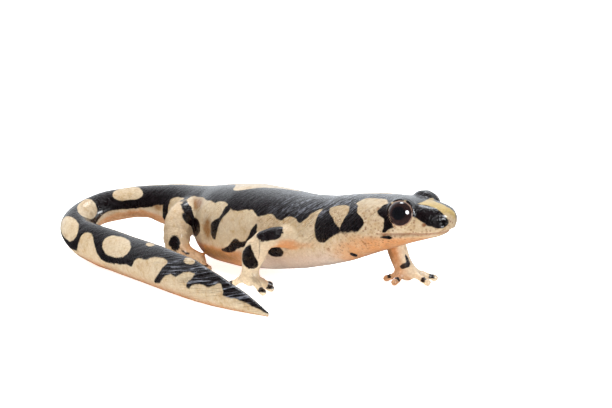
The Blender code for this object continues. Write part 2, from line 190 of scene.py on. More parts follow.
@dataclass
class Shell:
    """A closed surface as arrays: its points, its faces of four and its faces of three."""

    points: Array
    quads: Array
    tris: Array

    @classmethod
    def wrap(cls, grid: Array) -> "Shell":
        """Surface over a grid of points whose rows run round it, with a pole to close each end.

        Args:
            grid: Array of rows, columns and x, y, z.

        Returns:
            The closed surface.
        """
        rows, columns = grid.shape[:2]
        index = np.arange(rows * columns).reshape(rows, columns)
        ahead = np.roll(index, -1, axis=1)
        quads = np.stack([index[:-1], ahead[:-1], ahead[1:], index[1:]], axis=-1).reshape(-1, 4)
        first, last = np.full(columns, rows * columns), np.full(columns, rows * columns + 1)
        tris = np.concatenate([
            np.stack([ahead[0], index[0], first], axis=-1), np.stack([index[-1], ahead[-1], last], axis=-1),
        ])
        poles = np.stack([grid[0].mean(axis=0), grid[-1].mean(axis=0)])
        return cls(np.concatenate([grid.reshape(-1, 3), poles]), quads, tris)

    @classmethod
    def join(cls, shells: list["Shell"]) -> "Shell":
        """All the surfaces in one, each still closed by itself.

        Args:
            shells: The surfaces.

        Returns:
            One surface that holds them.
        """
        offsets = np.cumsum([0] + [len(shell.points) for shell in shells])
        return cls(
            np.concatenate([shell.points for shell in shells]),
            np.concatenate([shell.quads + start for shell, start in zip(shells, offsets)]),
            np.concatenate([shell.tris + start for shell, start in zip(shells, offsets)]),
        )

    def to_object(self, name: str) -> bpy.types.Object:
        """Put this surface, with its points taken to be in metres, into the scene.

        Args:
            name: The name of the object and of its mesh.

        Returns:
            The new object.
        """
        mesh = bpy.data.meshes.new(name)
        mesh.from_pydata(self.points.tolist(), [], self.quads.tolist() + self.tris.tolist())
        mesh.validate()
        return link(name, mesh)


def sweep(path: Array, sides: int) -> Shell:
    """Round tube along a path with a half ball on each end.

    At each path point a circle of the point's radius stands square to the path. On a half ball the circle
    shrinks with the cosine of the lift while its centre moves out with the sine.

    Args:
        path: Rows of x, y, z and radius.
        sides: Points in each circle.

    Returns:
        The closed tube.
    """
    lift = np.radians(np.array([75.0, 50.0, 25.0]))
    along = unit(np.gradient(path[:, :3], axis=0))
    caps = []
    for row, way in ((0, -1), (-1, 1)):
        radius = path[row, 3]
        centres = path[row, :3] + way * along[row] * np.sin(lift)[:, None] * radius
        caps.append(np.column_stack([centres, np.cos(lift) * radius]))
    rows = np.concatenate([caps[0], path, caps[1][::-1]])
    ways = np.concatenate([np.repeat(along[:1], 3, axis=0), along, np.repeat(along[-1:], 3, axis=0)])
    first = unit(np.cross(ways, np.array([0.13, 0.21, 0.97])))
    second = np.cross(ways, first)
    angle = full_turn(sides)
    circle = first[:, None] * np.cos(angle)[None, :, None] + second[:, None] * np.sin(angle)[None, :, None]
    return Shell.wrap(rows[:, None, :3] + circle * rows[:, None, 3:4])


def egg(centre: Array, radii: tuple[float, float, float], turn: float = 0.0) -> Shell:
    """Ellipsoid: circles of latitude, their size the cosine and their height the sine of the latitude.

    Args:
        centre: Middle of the ellipsoid.
        radii: Half sizes along X, Y and Z before the turn.
        turn: Turn about Z in degrees.

    Returns:
        The closed ellipsoid.
    """
    rows, columns = 25, 40
    latitude = np.radians(np.linspace(-84, 84, rows))[:, None]
    angle = full_turn(columns)[None, :]
    grid = np.stack([
        np.cos(angle) * np.cos(latitude) * radii[0],
        np.sin(angle) * np.cos(latitude) * radii[1],
        np.broadcast_to(np.sin(latitude) * radii[2], (rows, columns)),
    ], axis=-1)
    c, s = math.cos(math.radians(turn)), math.sin(math.radians(turn))
    return Shell.wrap(grid @ np.array([[c, s, 0], [-s, c, 0], [0, 0, 1]]) + centre)


@dataclass
class Lie:
    """Where points lie on the body, with the mean section radius there and how far they stand clear."""

    station: Array
    side: Array
    height: Array
    girth: Array
    radius: Array
    clear: Array

    @property
    def down(self) -> Array:
        """Girth angle without its side, 0 on the back and 180 on the belly."""
        return np.abs(self.girth)


@dataclass
class Body:
    """Head, trunk and tail as one form carried along the spine.

    The heading pairs a station with the spine's direction in degrees. A row of the sections gives a station
    with its half width, top, underside and exponent.
    """

    snout: tuple[float, float] = (16.2, 3.6)
    step: float = 0.25
    smoothing: int = 13
    columns: int = 88
    heading: Outline = (
        (-1, 198), (10, 198), (13, 195), (17, 184), (22, 179), (30, 178), (36, 177), (40, 182), (46, 204),
        (49, 214), (51, 218), (53, 232), (57, 285), (61, 353), (66, 361), (72, 351), (80, 349), (87, 352),
        (95, 366), (101, 366),
    )
    sections: tuple[tuple[float, ...], ...] = (
        (0.4, 0.35, 10.45, 9.4, 0.9), (0.6, 1.0, 10.8, 8.95, 0.85), (0.9, 1.55, 11.05, 8.6, 0.82),
        (1.35, 2.05, 11.25, 8.3, 0.8), (2.0, 2.5, 11.45, 8.0, 0.8), (3.2, 3.1, 11.7, 7.55, 0.8),
        (5.0, 3.75, 11.9, 7.0, 0.8), (7.0, 4.35, 11.95, 6.3, 0.8), (10.0, 4.8, 11.95, 5.2, 0.8),
        (13.0, 4.3, 11.65, 4.0, 0.82), (16.0, 3.95, 11.1, 3.1, 0.85), (20.0, 4.1, 10.75, 2.1, 0.85),
        (25.0, 4.6, 10.8, 1.2, 0.85), (30.0, 4.9, 10.7, 0.6, 0.85), (34.5, 4.7, 10.05, 0.6, 0.85),
        (36.2, 4.2, 9.75, 0.65, 0.87), (37.4, 3.8, 9.5, 1.0, 0.9), (38.7, 3.45, 9.3, 3.1, 0.92),
        (40.5, 3.1, 9.1, 3.5, 0.95), (43.0, 2.8, 8.95, 3.6, 1.0), (45.0, 2.55, 8.8, 3.5, 1.05),
        (46.5, 2.4, 8.6, 3.8, 1.1), (48.0, 2.3, 8.45, 4.4, 1.1), (50.0, 2.2, 8.2, 4.3, 1.15),
        (54.0, 2.1, 7.5, 3.5, 1.2), (58.0, 2.1, 6.3, 2.0, 1.25), (62.0, 2.05, 5.2, 0.5, 1.25),
        (65.8, 2.0, 4.95, -0.1, 1.25), (71.7, 1.9, 4.7, -0.45, 1.2), (79.5, 1.6, 4.8, -0.5, 1.2),
        (87.2, 1.3, 4.6, -0.5, 1.15), (92.1, 1.0, 3.55, -0.4, 1.1), (96.0, 0.7, 2.3, -0.25, 1.05),
        (98.4, 0.4, 1.2, -0.15, 1.0), (99.9, 0.18, 0.42, -0.05, 1.0),
    )
    course: tuple[Array, Array, Array, Array] = field(init=False)
    unrolled: tuple[Array, Array] = field(init=False)

    def __post_init__(self) -> None:
        """Lay out the spine: the smoothed heading is summed up step by step into plan positions.

        The unrolled length adds up the slant of the outline, so it measures the skin and not the spine.
        """
        stations = np.arange(0.0, 101.0, self.step)
        table = np.array(self.heading, dtype=float)
        heading = np.interp(stations, table[:, 0], table[:, 1])
        padded = np.pad(heading, self.smoothing // 2, mode="edge")
        heading = np.radians(np.convolve(padded, np.ones(self.smoothing) / self.smoothing, mode="valid"))
        x = self.snout[0] + np.concatenate([[0.0], np.cumsum(np.cos(heading[:-1]) * self.step)])
        y = self.snout[1] + np.concatenate([[0.0], np.cumsum(np.sin(heading[:-1]) * self.step)])
        self.course = (stations, heading, x, y)
        fine = np.linspace(0.3, 100.0, 2000)
        half, top, under, _ = self.section(fine).T
        radius = (half + (top - under) / 2) / 2
        slant = np.hypot(np.diff(fine), np.diff(radius))
        self.unrolled = (fine, np.concatenate([[0.0], np.cumsum(slant)]))

    def along_skin(self, station: Array) -> Array:
        """Length over the skin from the snout to each station."""
        return np.interp(station, *self.unrolled)

    def spine(self, station: Array) -> tuple[Array, Array, Array]:
        """Find the spine at each station; before the snout the line runs straight on.

        Args:
            station: Stations of any shape.

        Returns:
            X and Y in plan, and the heading in radians.
        """
        stations, heading, x, y = self.course
        angle = np.interp(station, stations, heading)
        early = np.minimum(station, 0.0)
        return (
            np.interp(station, stations, x) + np.cos(angle) * early,
            np.interp(station, stations, y) + np.sin(angle) * early,
            angle,
        )

    def section(self, station: Array) -> Array:
        """Half width, top, underside and exponent: the table's straight runs, averaged over a window.

        Args:
            station: Stations of any shape.

        Returns:
            The four values along a new last axis.
        """
        rows = np.array(self.sections)
        station = np.asarray(station, dtype=float)
        window = np.linspace(-0.5, 0.5, 5) * np.minimum(1.0, np.maximum(station, 0.0) * 0.4)[..., None]
        marks = station[..., None] + window
        columns = [np.interp(marks, rows[:, 0], column).mean(axis=-1) for column in rows.T[1:]]
        return np.stack(columns, axis=-1)

    def place(self, station: Array, side: Array, height: Array) -> Array:
        """Points at places on the body.

        Args:
            station: Distances along the body.
            side: Distances from the spine to the newt's right.
            height: Heights above the floor.

        Returns:
            Points along a new last axis.
        """
        station, side, height = np.broadcast_arrays(station, side, height)
        x, y, angle = self.spine(station)
        return np.stack([x - np.sin(angle) * side, y + np.cos(angle) * side, height], axis=-1)

    def shell(self) -> Shell:
        """Skin of head, trunk and tail.

        At each station the section is a superellipse: across it goes the half width times the cosine, and
        up it the half height times the sine, each raised to its exponent with its sign kept.

        Returns:
            The closed surface.
        """
        station = np.concatenate([np.linspace(0.4, 1.4, 22), np.arange(1.55, 99.8, 0.25), [99.9]])[:, None]
        angle = full_turn(self.columns)[None, :]
        half, top, under, power = np.moveaxis(self.section(station), -1, 0)
        across = half * np.sign(np.cos(angle)) * np.abs(np.cos(angle)) ** power
        rise = (top - under) / 2 * np.sign(np.sin(angle)) * np.abs(np.sin(angle)) ** np.minimum(power, 1.0)
        return Shell.wrap(self.place(station, across, (top + under) / 2 + rise))

    def lie(self, points: Array) -> Lie:
        """Find where points lie: the nearest spine point gives the station, the section the girth angle.

        Args:
            points: Rows of x, y, z.

        Returns:
            Their places on the body, with the distance that they stand clear of its form.
        """
        stations, heading, x, y = self.course
        nearest = nearest_rows(points[:, :2], np.stack([x, y], axis=-1))
        ahead = (points[:, 0] - x[nearest]) * np.cos(heading[nearest])
        ahead += (points[:, 1] - y[nearest]) * np.sin(heading[nearest])
        station = stations[nearest] + np.clip(ahead, -2 * self.step, 2 * self.step)
        cx, cy, angle = self.spine(station)
        side = (points[:, 1] - cy) * np.cos(angle) - (points[:, 0] - cx) * np.sin(angle)
        half, top, under, power = self.section(station).T
        rise = (points[:, 2] - (top + under) / 2) / ((top - under) / 2)
        wide = np.sign(side) * np.abs(side / half) ** (1 / power)
        tall = np.sign(rise) * np.abs(rise) ** (1 / np.minimum(power, 1.0))
        radius = (half + (top - under) / 2) / 2
        clear = (np.hypot(side / half, rise) - 1) * np.minimum(half, (top - under) / 2)
        return Lie(station, side, points[:, 2], np.degrees(np.arctan2(wide, tall)), radius, clear)


@dataclass
class Limb:
    """An arm or a leg with its palm or sole and its digits.

    The path's rows are x, y, z and radius. The tips are the digits' ends in plan, from the pad's middle, and
    the knuckle is the height that the digits arch over.
    """

    name: str
    path: tuple[tuple[float, float, float, float], ...]
    pad: tuple[float, float, float]
    pad_radii: tuple[float, float, float]
    pad_turn: float
    tips: Outline
    knuckle: float
    digit_radius: tuple[float, float, float, float] = (0.56, 0.44, 0.4, 0.42)
    spacing: float = 0.15
    sides: int = 40
    digit_sides: int = 24

    def course(self) -> Array:
        """The limb's line from inside the body to the wrist or ankle, as rows of x, y, z and radius."""
        return space_out(cut_corners(np.array(self.path), 3), self.spacing)

    def digits(self) -> list[Array]:
        """Lay each digit's line out of the pad over its knuckle and down to the floor.

        Returns:
            For each digit, rows of x, y, z and radius.
        """
        cx, cy, cz = self.pad
        lines = []
        for dx, dy in self.tips:
            reach = math.hypot(dx, dy)
            points = [
                (cx + dx / reach * 0.5, cy + dy / reach * 0.5, min(cz - 0.1, self.knuckle + 0.1)),
                (cx + dx * 0.55, cy + dy * 0.55, self.knuckle - 0.1),
                (cx + dx * 0.8, cy + dy * 0.8, 0.5),
                (cx + dx, cy + dy, 0.36),
            ]
            rows = np.column_stack([np.array(points), np.array(self.digit_radius)])
            lines.append(space_out(cut_corners(rows, 2), self.spacing))
        return lines

    def shells(self) -> list[Shell]:
        """Closed surfaces of limb, pad and digits, which overlap."""
        made = [sweep(self.course(), self.sides), egg(np.array(self.pad), self.pad_radii, self.pad_turn)]
        return made + [sweep(line, self.digit_sides) for line in self.digits()]

    def nearest(self, points: Array, line: Array) -> tuple[Array, Array, Array, Array]:
        """Find where points lie on a line: how far along, at what angle and how clear of its tube.

        The angle is measured round the line from the side that faces forward, +X.

        Args:
            points: Rows of x, y, z.
            line: Rows of x, y, z and radius at even distances.

        Returns:
            Distance along, angle in degrees, clearance, and share of the line passed.
        """
        chosen = nearest_rows(points, line[:, :3])
        steps = np.linalg.norm(np.diff(line[:, :3], axis=0), axis=1)
        reach = np.concatenate([[0.0], np.cumsum(steps)])
        along = unit(np.gradient(line[:, :3], axis=0))
        front = unit(np.array([1.0, 0.0, 0.0]) - along * along[:, :1])
        away = points - line[chosen, :3]
        turn = np.degrees(np.arctan2(
            (away * np.cross(along, front)[chosen]).sum(axis=-1), (away * front[chosen]).sum(axis=-1)
        ))
        clear = np.linalg.norm(away, axis=-1) - line[chosen, 3]
        return reach[chosen], turn, clear, reach[chosen] / reach[-1]


LIMBS = (
    Limb(
        "arm_right",
        ((-0.6, -1.4, 6.0, 1.7), (-1.9, -4.6, 6.4, 1.45), (-3.8, -7.5, 6.5, 1.05), (-5.0, -8.15, 4.5, 1.55),
         (-5.75, -8.0, 2.6, 0.98), (-5.85, -8.0, 1.5, 1.1)),
        (-5.9, -8.0, 1.5), (1.45, 1.05, 0.7), 0.0,
        ((0.7, 2.5), (2.4, 1.2), (3.3, -0.8), (-2.7, -0.5)), 1.15,
    ),
    Limb(
        "arm_left",
        ((0.8, 1.4, 5.8, 1.75), (0.5, 4.8, 6.0, 1.55), (-0.5, 9.2, 6.7, 1.26), (2.1, 8.5, 2.4, 1.16),
         (3.1, 8.7, 1.2, 1.15)),
        (3.2, 8.7, 1.2), (1.35, 1.35, 0.75), 0.0,
        ((-1.9, -1.7), (0.4, -2.6), (3.1, 0.2), (1.8, 2.7)), 1.0,
    ),
    Limb(
        "leg_right",
        ((-22.2, -0.8, 5.9, 2.1), (-22.4, -4.9, 6.2, 2.0), (-20.3, -7.5, 2.4, 1.45),
         (-19.0, -5.5, 1.25, 1.1), (-18.7, -5.3, 1.15, 1.05)),
        (-18.8, -5.3, 0.95), (1.25, 1.15, 0.95), 8.0,
        ((1.9, 0.3), (2.4, -0.5), (2.2, -1.4), (1.6, -2.2), (0.5, -2.3)), 0.85,
    ),
    Limb(
        "leg_left",
        ((-22.6, 0.0, 5.9, 2.1), (-23.4, 3.0, 5.8, 1.9), (-26.0, 7.7, 5.6, 1.4), (-27.9, 7.0, 1.9, 1.15),
         (-27.7, 7.5, 0.95, 1.05)),
        (-27.3, 7.6, 0.8), (1.3, 1.5, 0.85), 50.0,
        ((2.5, -0.6), (2.9, 1.0), (2.4, 2.4), (1.0, 3.0), (-0.9, 2.4)), 0.85,
    ),
)


class Tone(Enum):
    """What a marking does: it lays black over the pale skin, or clears the black away again."""

    DARK = 1
    PALE = -1


@dataclass(frozen=True)
class Marking:
    """A marking drawn on the unrolled skin by a rounded outline of stations and angles.

    Its fade, in shares, is taken off its depth, which leaves a small mark soft and brown.
    """

    tone: Tone
    outline: Outline
    rounds: int = 2
    fade: float = 0.0

    def distance(self, length: Array, turn: Array, scale: Array, over: Callable[[Array], Array]) -> Array:
        """Signed distance to the outline, negative inside.

        It is the distance to the nearest edge, and a point is inside where a line from it crosses the
        edges an odd number of times. Angles are turned into lengths by each point's own radius.

        Args:
            length: Each point's length along the skin.
            turn: Each point's angle in degrees.
            scale: Length of one degree at each point.
            over: Turns the outline's stations into lengths along the skin.

        Returns:
            Distances in shares.
        """
        chain = cut_corners(np.array(self.outline), self.rounds, closed=True)
        chain[:, 0] = over(chain[:, 0])
        best = np.full(len(length), FAR)
        near = (length > chain[:, 0].min() - 3) & (length < chain[:, 0].max() + 3)
        u, v, k = length[near], turn[near], scale[near]
        found = np.full(len(u), FAR)
        inside = np.zeros(len(u), dtype=bool)
        for (u0, a0), (u1, a1) in zip(chain, np.roll(chain, -1, axis=0)):
            du, dv = u1 - u0, (a1 - a0) * k
            qu, qv = u - u0, (v - a0) * k
            part = np.clip((qu * du + qv * dv) / (du * du + dv * dv + 1e-9), 0.0, 1.0)
            found = np.minimum(found, np.hypot(qu - part * du, qv - part * dv))
            crosses = (a0 > v) != (a1 > v)
            inside ^= crosses & (u < u0 + du * (v - a0) / (a1 - a0 if a1 != a0 else 1e-9))
        best[near] = np.where(inside, -found, found)
        return best + self.fade


def spot(
    tone: Tone, station: float, girth: float, half_length: float, half_turn: float, fade: float = 0.0
) -> Marking:
    """Marking with an outline of eight points on an ellipse, which rounding turns into an oval.

    Args:
        tone: Whether it lays black on or clears it away.
        station: Middle along the body.
        girth: Middle round the body, in degrees.
        half_length: Half its size along the body.
        half_turn: Half its size round the body, in degrees.
        fade: What is taken off its depth.

    Returns:
        The marking.
    """
    grown_length, grown_turn = 1.1 * half_length, 1.1 * half_turn
    points = []
    for k in range(8):
        angle = math.pi / 4 * k
        points.append((station + grown_length * math.cos(angle), girth + grown_turn * math.sin(angle)))
    return Marking(tone, tuple(points), fade=fade)


BACK = Marking(Tone.DARK, (
    (3.9, 18), (4.4, 32), (5.2, 40), (6.5, 40), (7.4, 33), (7.8, 20), (9, 17), (10.4, 19), (10.9, 28),
    (11.2, 40), (11.8, 44), (12.5, 41), (13.8, 43), (14.5, 48), (15.3, 48), (16, 51), (16.6, 57), (17, 65),
    (17.5, 73), (18, 72), (18.5, 65), (19.4, 62), (20.1, 64), (20.6, 70), (21.1, 70), (21.7, 65), (22.4, 60),
    (23.5, 65), (24.3, 69), (24.8, 64), (25.3, 59), (26.6, 61), (28.3, 65), (29.3, 62), (29.8, 57),
    (30.6, 53), (31.8, 51), (32.6, 57), (33.6, 51), (34.5, 53), (35.2, 48), (36.5, 44), (38, 46),
    (39.4, 52), (40.2, 60), (41.3, 56), (42.8, 60), (43.6, 68), (44.8, 78), (46, 84), (47, 96),
    (48.2, 103), (50, 105), (51.5, 101), (53, 96), (54.5, 94), (56, 96), (57.5, 100), (59, 105), (61, 108),
    (63, 105), (66, 100), (69, 86), (71, 98), (73, 78), (75.5, 70), (78, 88), (80.5, 68), (83, 84),
    (85.5, 64), (88, 78), (90, 58), (92, 70), (94, 50), (96, 62), (98, 50), (100.5, 50), (100.5, -66),
    (98.8, -64), (97.5, -65), (96.3, -67), (95.4, -72), (94.4, -82), (93.6, -82), (93.7, -66), (93.3, -46),
    (92.9, -40), (92.4, -56), (91.4, -76), (90.7, -70), (90, -73), (89, -84), (88.3, -98), (87.5, -102),
    (87.8, -86), (88.6, -68), (89, -55), (88.8, -50), (87.9, -56), (86.5, -69), (85.8, -83), (85, -81),
    (83.9, -84), (83, -93), (82.3, -106), (81.4, -120), (80.3, -123), (80.8, -106), (81.8, -90),
    (82.4, -74), (83.2, -62), (83.4, -52), (82.4, -46), (81, -48), (79.7, -56), (79, -67), (77.6, -68),
    (76.7, -70), (76.1, -84), (75.5, -101), (74.8, -96), (73, -101), (70.6, -109), (68.5, -112),
    (67.8, -97), (67.1, -80), (66.4, -58), (65.2, -40), (64.2, -54), (64.0, -75), (63.8, -95), (63.2, -114),
    (61, -122), (59.5, -114), (58, -100), (56, -90), (54, -80), (52, -70), (50, -84), (48, -66),
    (46, -58), (44, -80), (42.5, -92), (41, -66), (38.5, -52), (36.5, -60), (35, -84), (33.5, -90),
    (32.5, -66), (30.5, -54), (28, -60), (26.5, -72), (25, -74), (23.8, -60), (21.5, -56), (19.8, -70),
    (18.6, -66), (17.4, -54), (16.2, -62), (15.6, -88), (14.6, -94), (13.6, -86), (13.4, -62),
    (12.4, -46), (11.4, -44), (10.8, -30), (9, -26), (7.8, -28), (7.4, -40), (6.4, -42), (5.2, -40),
    (4.6, -30), (4.2, -22), (3.9, 0),
), 1)

MARKINGS = (
    BACK,
    # Right side of head and neck: band from eye to nostril, patch behind the eye, neck patch and comma.
    Marking(Tone.DARK, (
        (4.9, 22), (3.8, 26), (2.8, 22), (1.8, 31), (1.1, 48), (0.65, 75), (0.6, 104), (0.8, 114),
        (1.2, 113), (1.8, 102), (2.3, 94), (2.8, 87), (3.4, 79), (3.9, 70), (4.8, 60),
    )),
    Marking(Tone.DARK, (
        (8, 61), (8, 48), (7.6, 37), (7, 28), (6, 50), (6.1, 74), (5.8, 90), (6.4, 94), (6.9, 101),
        (7.2, 98), (7.1, 88), (7.1, 77), (7.5, 71),
    )),
    Marking(Tone.DARK, (
        (10.9, 38), (10.5, 52), (10.3, 61), (9.7, 69), (9.3, 79), (9.4, 88), (10, 91), (10.8, 91),
        (11.7, 92), (12.6, 89), (12, 76), (11.8, 66), (11.5, 58), (11.8, 42),
    )),
    Marking(Tone.DARK, (
        (15.2, 44), (15.6, 62), (15.7, 77), (15.6, 89), (15.3, 97), (15, 101), (14.2, 101), (13.6, 95),
        (13, 92), (12.2, 90), (12.4, 85), (12.9, 80), (13.5, 69), (14.1, 57), (14.3, 44),
    )),
    # Right flank and hip: slanting line, notched line under the flank patch, bar over the groin.
    Marking(Tone.DARK, (
        (28.9, 58), (29.6, 71), (30.2, 78), (30.8, 85), (31.2, 92), (31.6, 102), (32.3, 101), (32.6, 89),
        (32.2, 82), (31.2, 78), (30.4, 72), (30, 56),
    )),
    Marking(Tone.DARK, (
        (24.2, 76), (24.9, 84), (25.4, 92), (26, 99), (27, 101), (27.6, 97), (28.2, 98), (28.8, 105),
        (29.7, 111), (30.8, 113), (30.8, 119), (29.2, 119), (28.2, 114), (27, 108), (25.8, 105), (25, 99),
        (24, 88),
    )),
    Marking(Tone.DARK, (
        (39.2, 46), (39.3, 70), (38.4, 79), (36.4, 79), (35.1, 83), (34.5, 90), (35.3, 100), (37.5, 110),
        (39.8, 113), (40.8, 95), (40.3, 70), (40.4, 48),
    )),
    Marking(Tone.DARK, ((43.3, 60), (44.5, 62), (44.8, 90), (45.2, 130), (44.3, 132), (43.8, 95))),
    # Left side of the head.
    Marking(Tone.DARK, (
        (4.9, -24), (3.4, -8), (2.7, -5), (1.9, -4), (1, -2), (0.6, -8), (0.55, -60), (0.7, -104), (1, -112),
        (1.6, -102), (2.3, -92), (3.2, -82), (4, -70), (4.8, -60),
    )),
    Marking(Tone.DARK, (
        (8.2, -56), (8, -44), (7.6, -34), (7, -28), (6, -50), (6.1, -75), (6.3, -92), (6.9, -99), (7.3, -84),
        (7.7, -68),
    )),
    Marking(Tone.DARK, (
        (11.2, -40), (10.6, -60), (9.9, -80), (10.4, -92), (11.8, -90), (12.4, -74), (11.9, -58), (12, -42),
    )),
    # Pale stripe along the back and the pale patches of the tail.
    Marking(Tone.PALE, (
        (8.2, -8), (9.5, -3), (12, -2), (14.2, -3), (14.7, -10), (13, -22), (10, -24), (8.4, -17),
    )),
    Marking(Tone.PALE, (
        (21.5, -8), (24, -2), (26, 3), (27.6, 8), (28.4, 18), (29.6, 27), (30.9, 28), (31.7, 16), (33, 4),
        (36, 2), (40, 4), (44, 8), (48, 6), (52, -2), (50, -14), (46, -14), (42, -12), (38, -16), (34, -15),
        (31, -20), (28, -13), (25, -14),
    )),
    Marking(Tone.PALE, (
        (53, 45), (52.5, 13), (51.4, 0), (49.9, 8), (48.6, 35), (48.2, 60), (49.4, 72), (50.9, 71),
        (52.4, 63),
    )),
    Marking(Tone.PALE, (
        (57.5, -8), (56.4, -8), (56.1, 10), (56.1, 58), (56.8, 73), (58.7, 70), (60.4, 46), (61.3, 16),
        (59.8, 4),
    )),
    spot(Tone.PALE, 61.3, -61, 1.95, 33),
    Marking(Tone.PALE, (
        (68.3, -60), (68.6, -42), (69.6, -28), (71.2, -23), (72.8, -27), (74.2, -40), (74.6, -56), (74, -75),
        (72.3, -85), (70.3, -91), (68.8, -82),
    )),
    spot(Tone.PALE, 77.6, -14, 0.9, 13), spot(Tone.PALE, 86.9, -18, 0.95, 20),
    spot(Tone.PALE, 3.8, -23, 0.5, 10),
    # Small marks of the jaw, throat and belly.
    Marking(Tone.DARK, (
        (7.6, 107), (7.2, 104), (6.7, 105), (6.2, 109), (6.0, 116), (6.4, 119), (6.8, 116), (7.2, 112),
    ), fade=0.06),
    spot(Tone.DARK, 11.5, 143, 0.6, 13, fade=0.2), spot(Tone.DARK, 21.6, 113, 1.3, 11, fade=0.06),
    spot(Tone.DARK, 26.0, -140, 0.7, 8), spot(Tone.DARK, 19.0, -118, 0.6, 7),
    spot(Tone.DARK, 23.4, -92, 0.9, 8), spot(Tone.DARK, 30.2, -104, 1.1, 8),
    spot(Tone.DARK, 47.0, -108, 1.4, 14), spot(Tone.DARK, 52.5, -112, 0.9, 12),
)


@dataclass(frozen=True)
class LimbPaint:
    """Colours of one limb: its black markings, its warm and pale parts and its ochre.

    The side is 1 on the newt's right and -1 on its left. Each digit has a dark band at a share of its
    length. The stain is an oval: its turn and half size round the limb, then its place and half size along.
    """

    side: int
    markings: tuple[Marking, ...]
    band_at: float = 0.8
    fade: float = 0.0
    warm: float = 0.22
    warm_root: float = 0.0
    warm_end: float = 0.0
    stain: tuple[float, float, float, float] = (0.0, 1.0, 0.0, 1.0)
    stain_strength: float = 0.0
    ochre_end: float = 0.0
    pale: float = 1.0


LIMB_PAINT = {
    "arm_right": LimbPaint(1, (
        Marking(Tone.DARK, (
            (7.1, 112), (6.4, 112), (5.7, 100), (5.0, 84), (4.95, 48), (5.1, 10), (5.7, 0), (6.4, 8),
            (6.9, 24), (7.3, 56), (7.35, 90),
        )),
        Marking(Tone.DARK, (
            (8.0, 90), (8.2, 66), (8.6, 46), (8.9, 28), (9.5, 6), (10.4, 2), (10.6, 36), (10.6, 72),
            (10.3, 102), (9.6, 116), (8.9, 114), (8.3, 104),
        )),
    ), band_at=0.92, warm_root=0.6),
    "arm_left": LimbPaint(-1, (
        Marking(Tone.DARK, (
            (11.2, 10), (11.5, -4), (12.4, -12), (13.0, -6), (13.2, 30), (13.0, 62), (12.5, 72), (12.4, 44),
            (12.5, 22), (12.0, 18),
        )),
        Marking(Tone.DARK, ((5.5, -60), (5.5, -110), (7.6, -120), (7.8, -70))),
    ), fade=0.06, warm=0.42, stain=(104, 26, 10.3, 1.4), stain_strength=0.9, ochre_end=0.3),
    "leg_right": LimbPaint(1, (
        Marking(Tone.DARK, (
            (2.2, 98), (2.1, 74), (3.1, 50), (3.5, 30), (3.4, 10), (3.3, -20), (4.2, -38), (5.0, -36),
            (5.7, 4), (5.5, 30), (5.0, 48), (4.5, 50), (4.1, 64), (3.5, 96),
        )),
        Marking(Tone.DARK, ((7.8, 86), (7.4, 70), (7.4, 46), (7.9, 28), (8.7, 26), (8.7, 48), (8.3, 80))),
        Marking(Tone.DARK, ((8.7, 26), (9.2, -4), (9.9, -20), (9.9, -10), (9.3, 6))),
    ), warm_end=0.45, stain=(-10, 35, 7.2, 1.2), stain_strength=0.45, pale=0.4),
    "leg_left": LimbPaint(-1, (
        Marking(Tone.DARK, ((5.2, -40), (5.4, -90), (7, -110), (7.4, -60))),
        Marking(Tone.DARK, ((8.6, 60), (8.8, 10), (10.2, 0), (10.6, 50))),
    ), pale=0.4),
}


@dataclass(frozen=True)
class Patch:
    """Soft oval of colour on the body: its strength, its middle and its half sizes along and round."""

    strength: float
    station: float
    girth: float
    length: float
    turn: float

    def over(self, lie: Lie) -> Array:
        """Strength times a bell along the body times a bell round it."""
        along = bell(lie.station, self.station, self.length)
        return self.strength * along * bell(lie.girth, self.girth, self.turn)


@dataclass(frozen=True)
class Band:
    """Colour over a stretch of the body; each pair says where it starts to rise and where it is full."""

    strength: float
    start: tuple[float, float]
    end: tuple[float, float] = (200.0, 199.0)
    down: tuple[float, float] = (-2.0, -1.0)

    def over(self, lie: Lie) -> Array:
        """Strength times the rises from the start, from the end and round the body."""
        along = ease(lie.station, *self.start) * ease(lie.station, *self.end)
        return self.strength * along * ease(lie.down, *self.down)


# Warm tint of chest and underparts, brown stains, pale belly, freckled front and straw-coloured snout.
CHEST = (Band(0.85, (8.5, 11), (15.5, 11), (88, 116)), Band(0.24, (13, 18), (26, 20), (88, 116)))
WARM_PARTS = (
    Band(1.1, (24, 30), (44, 38), (106, 120)), Band(0.7, (42, 46), (60, 54), (98, 122)),
    Band(0.9, (56, 66), down=(100, 155)), Patch(0.6, 17.6, 104, 2.6, 7),
)
STAINS = (
    Patch(1.1, 36.8, 58, 1.6, 12), Patch(1.0, 33.2, 90, 0.9, 15), Patch(0.8, 45.8, 88, 1.3, 12),
    Patch(0.8, 40.5, 112, 2.2, 14), Patch(0.7, 50.0, 135, 5.0, 22), Patch(0.35, 17.5, 108, 0.5, 6),
    Patch(0.45, 15.6, 126, 0.5, 6), Patch(0.4, 8.4, 108, 1.2, 8), Patch(0.6, 23.8, 73, 0.7, 6),
    Patch(0.6, 16.3, 62, 0.5, 7), Patch(0.5, 19.6, 70, 0.9, 5), Patch(0.5, 33.0, -60, 1.5, 12),
    Patch(0.5, 47.0, -80, 2.0, 12), Patch(1.0, 33.0, 128, 5.5, 13), Patch(0.2, 2.2, 0, 3.2, 55),
)
BELLY = Band(1.0, (11, 15), (40, 34), (105, 135))
FRECKLES = Band(1.0, (-2, -1), (22, 9), (30, 60))
STRAW = Patch(1.0, 1.8, 0, 3.6, 62)
# Wet folds of the neck and of the tail's end, and where pale highlights are painted into the black along
# them.
FOLDS = (Band(0.6, (7.5, 10), (26, 17)), Band(0.78, (79, 87), (99, 96)))
PAINTED_GLINT_BANDS = (
    Band(1.0, (7.5, 10), (26, 17), (72, 48)), Band(1.0, (79, 87), (99, 96), (100, 82)),
    Band(0.8, (4.5, 6.5), (9.5, 8), (42, 26)), Band(0.06, (15, 22), (40, 32), (70, 40)),
)


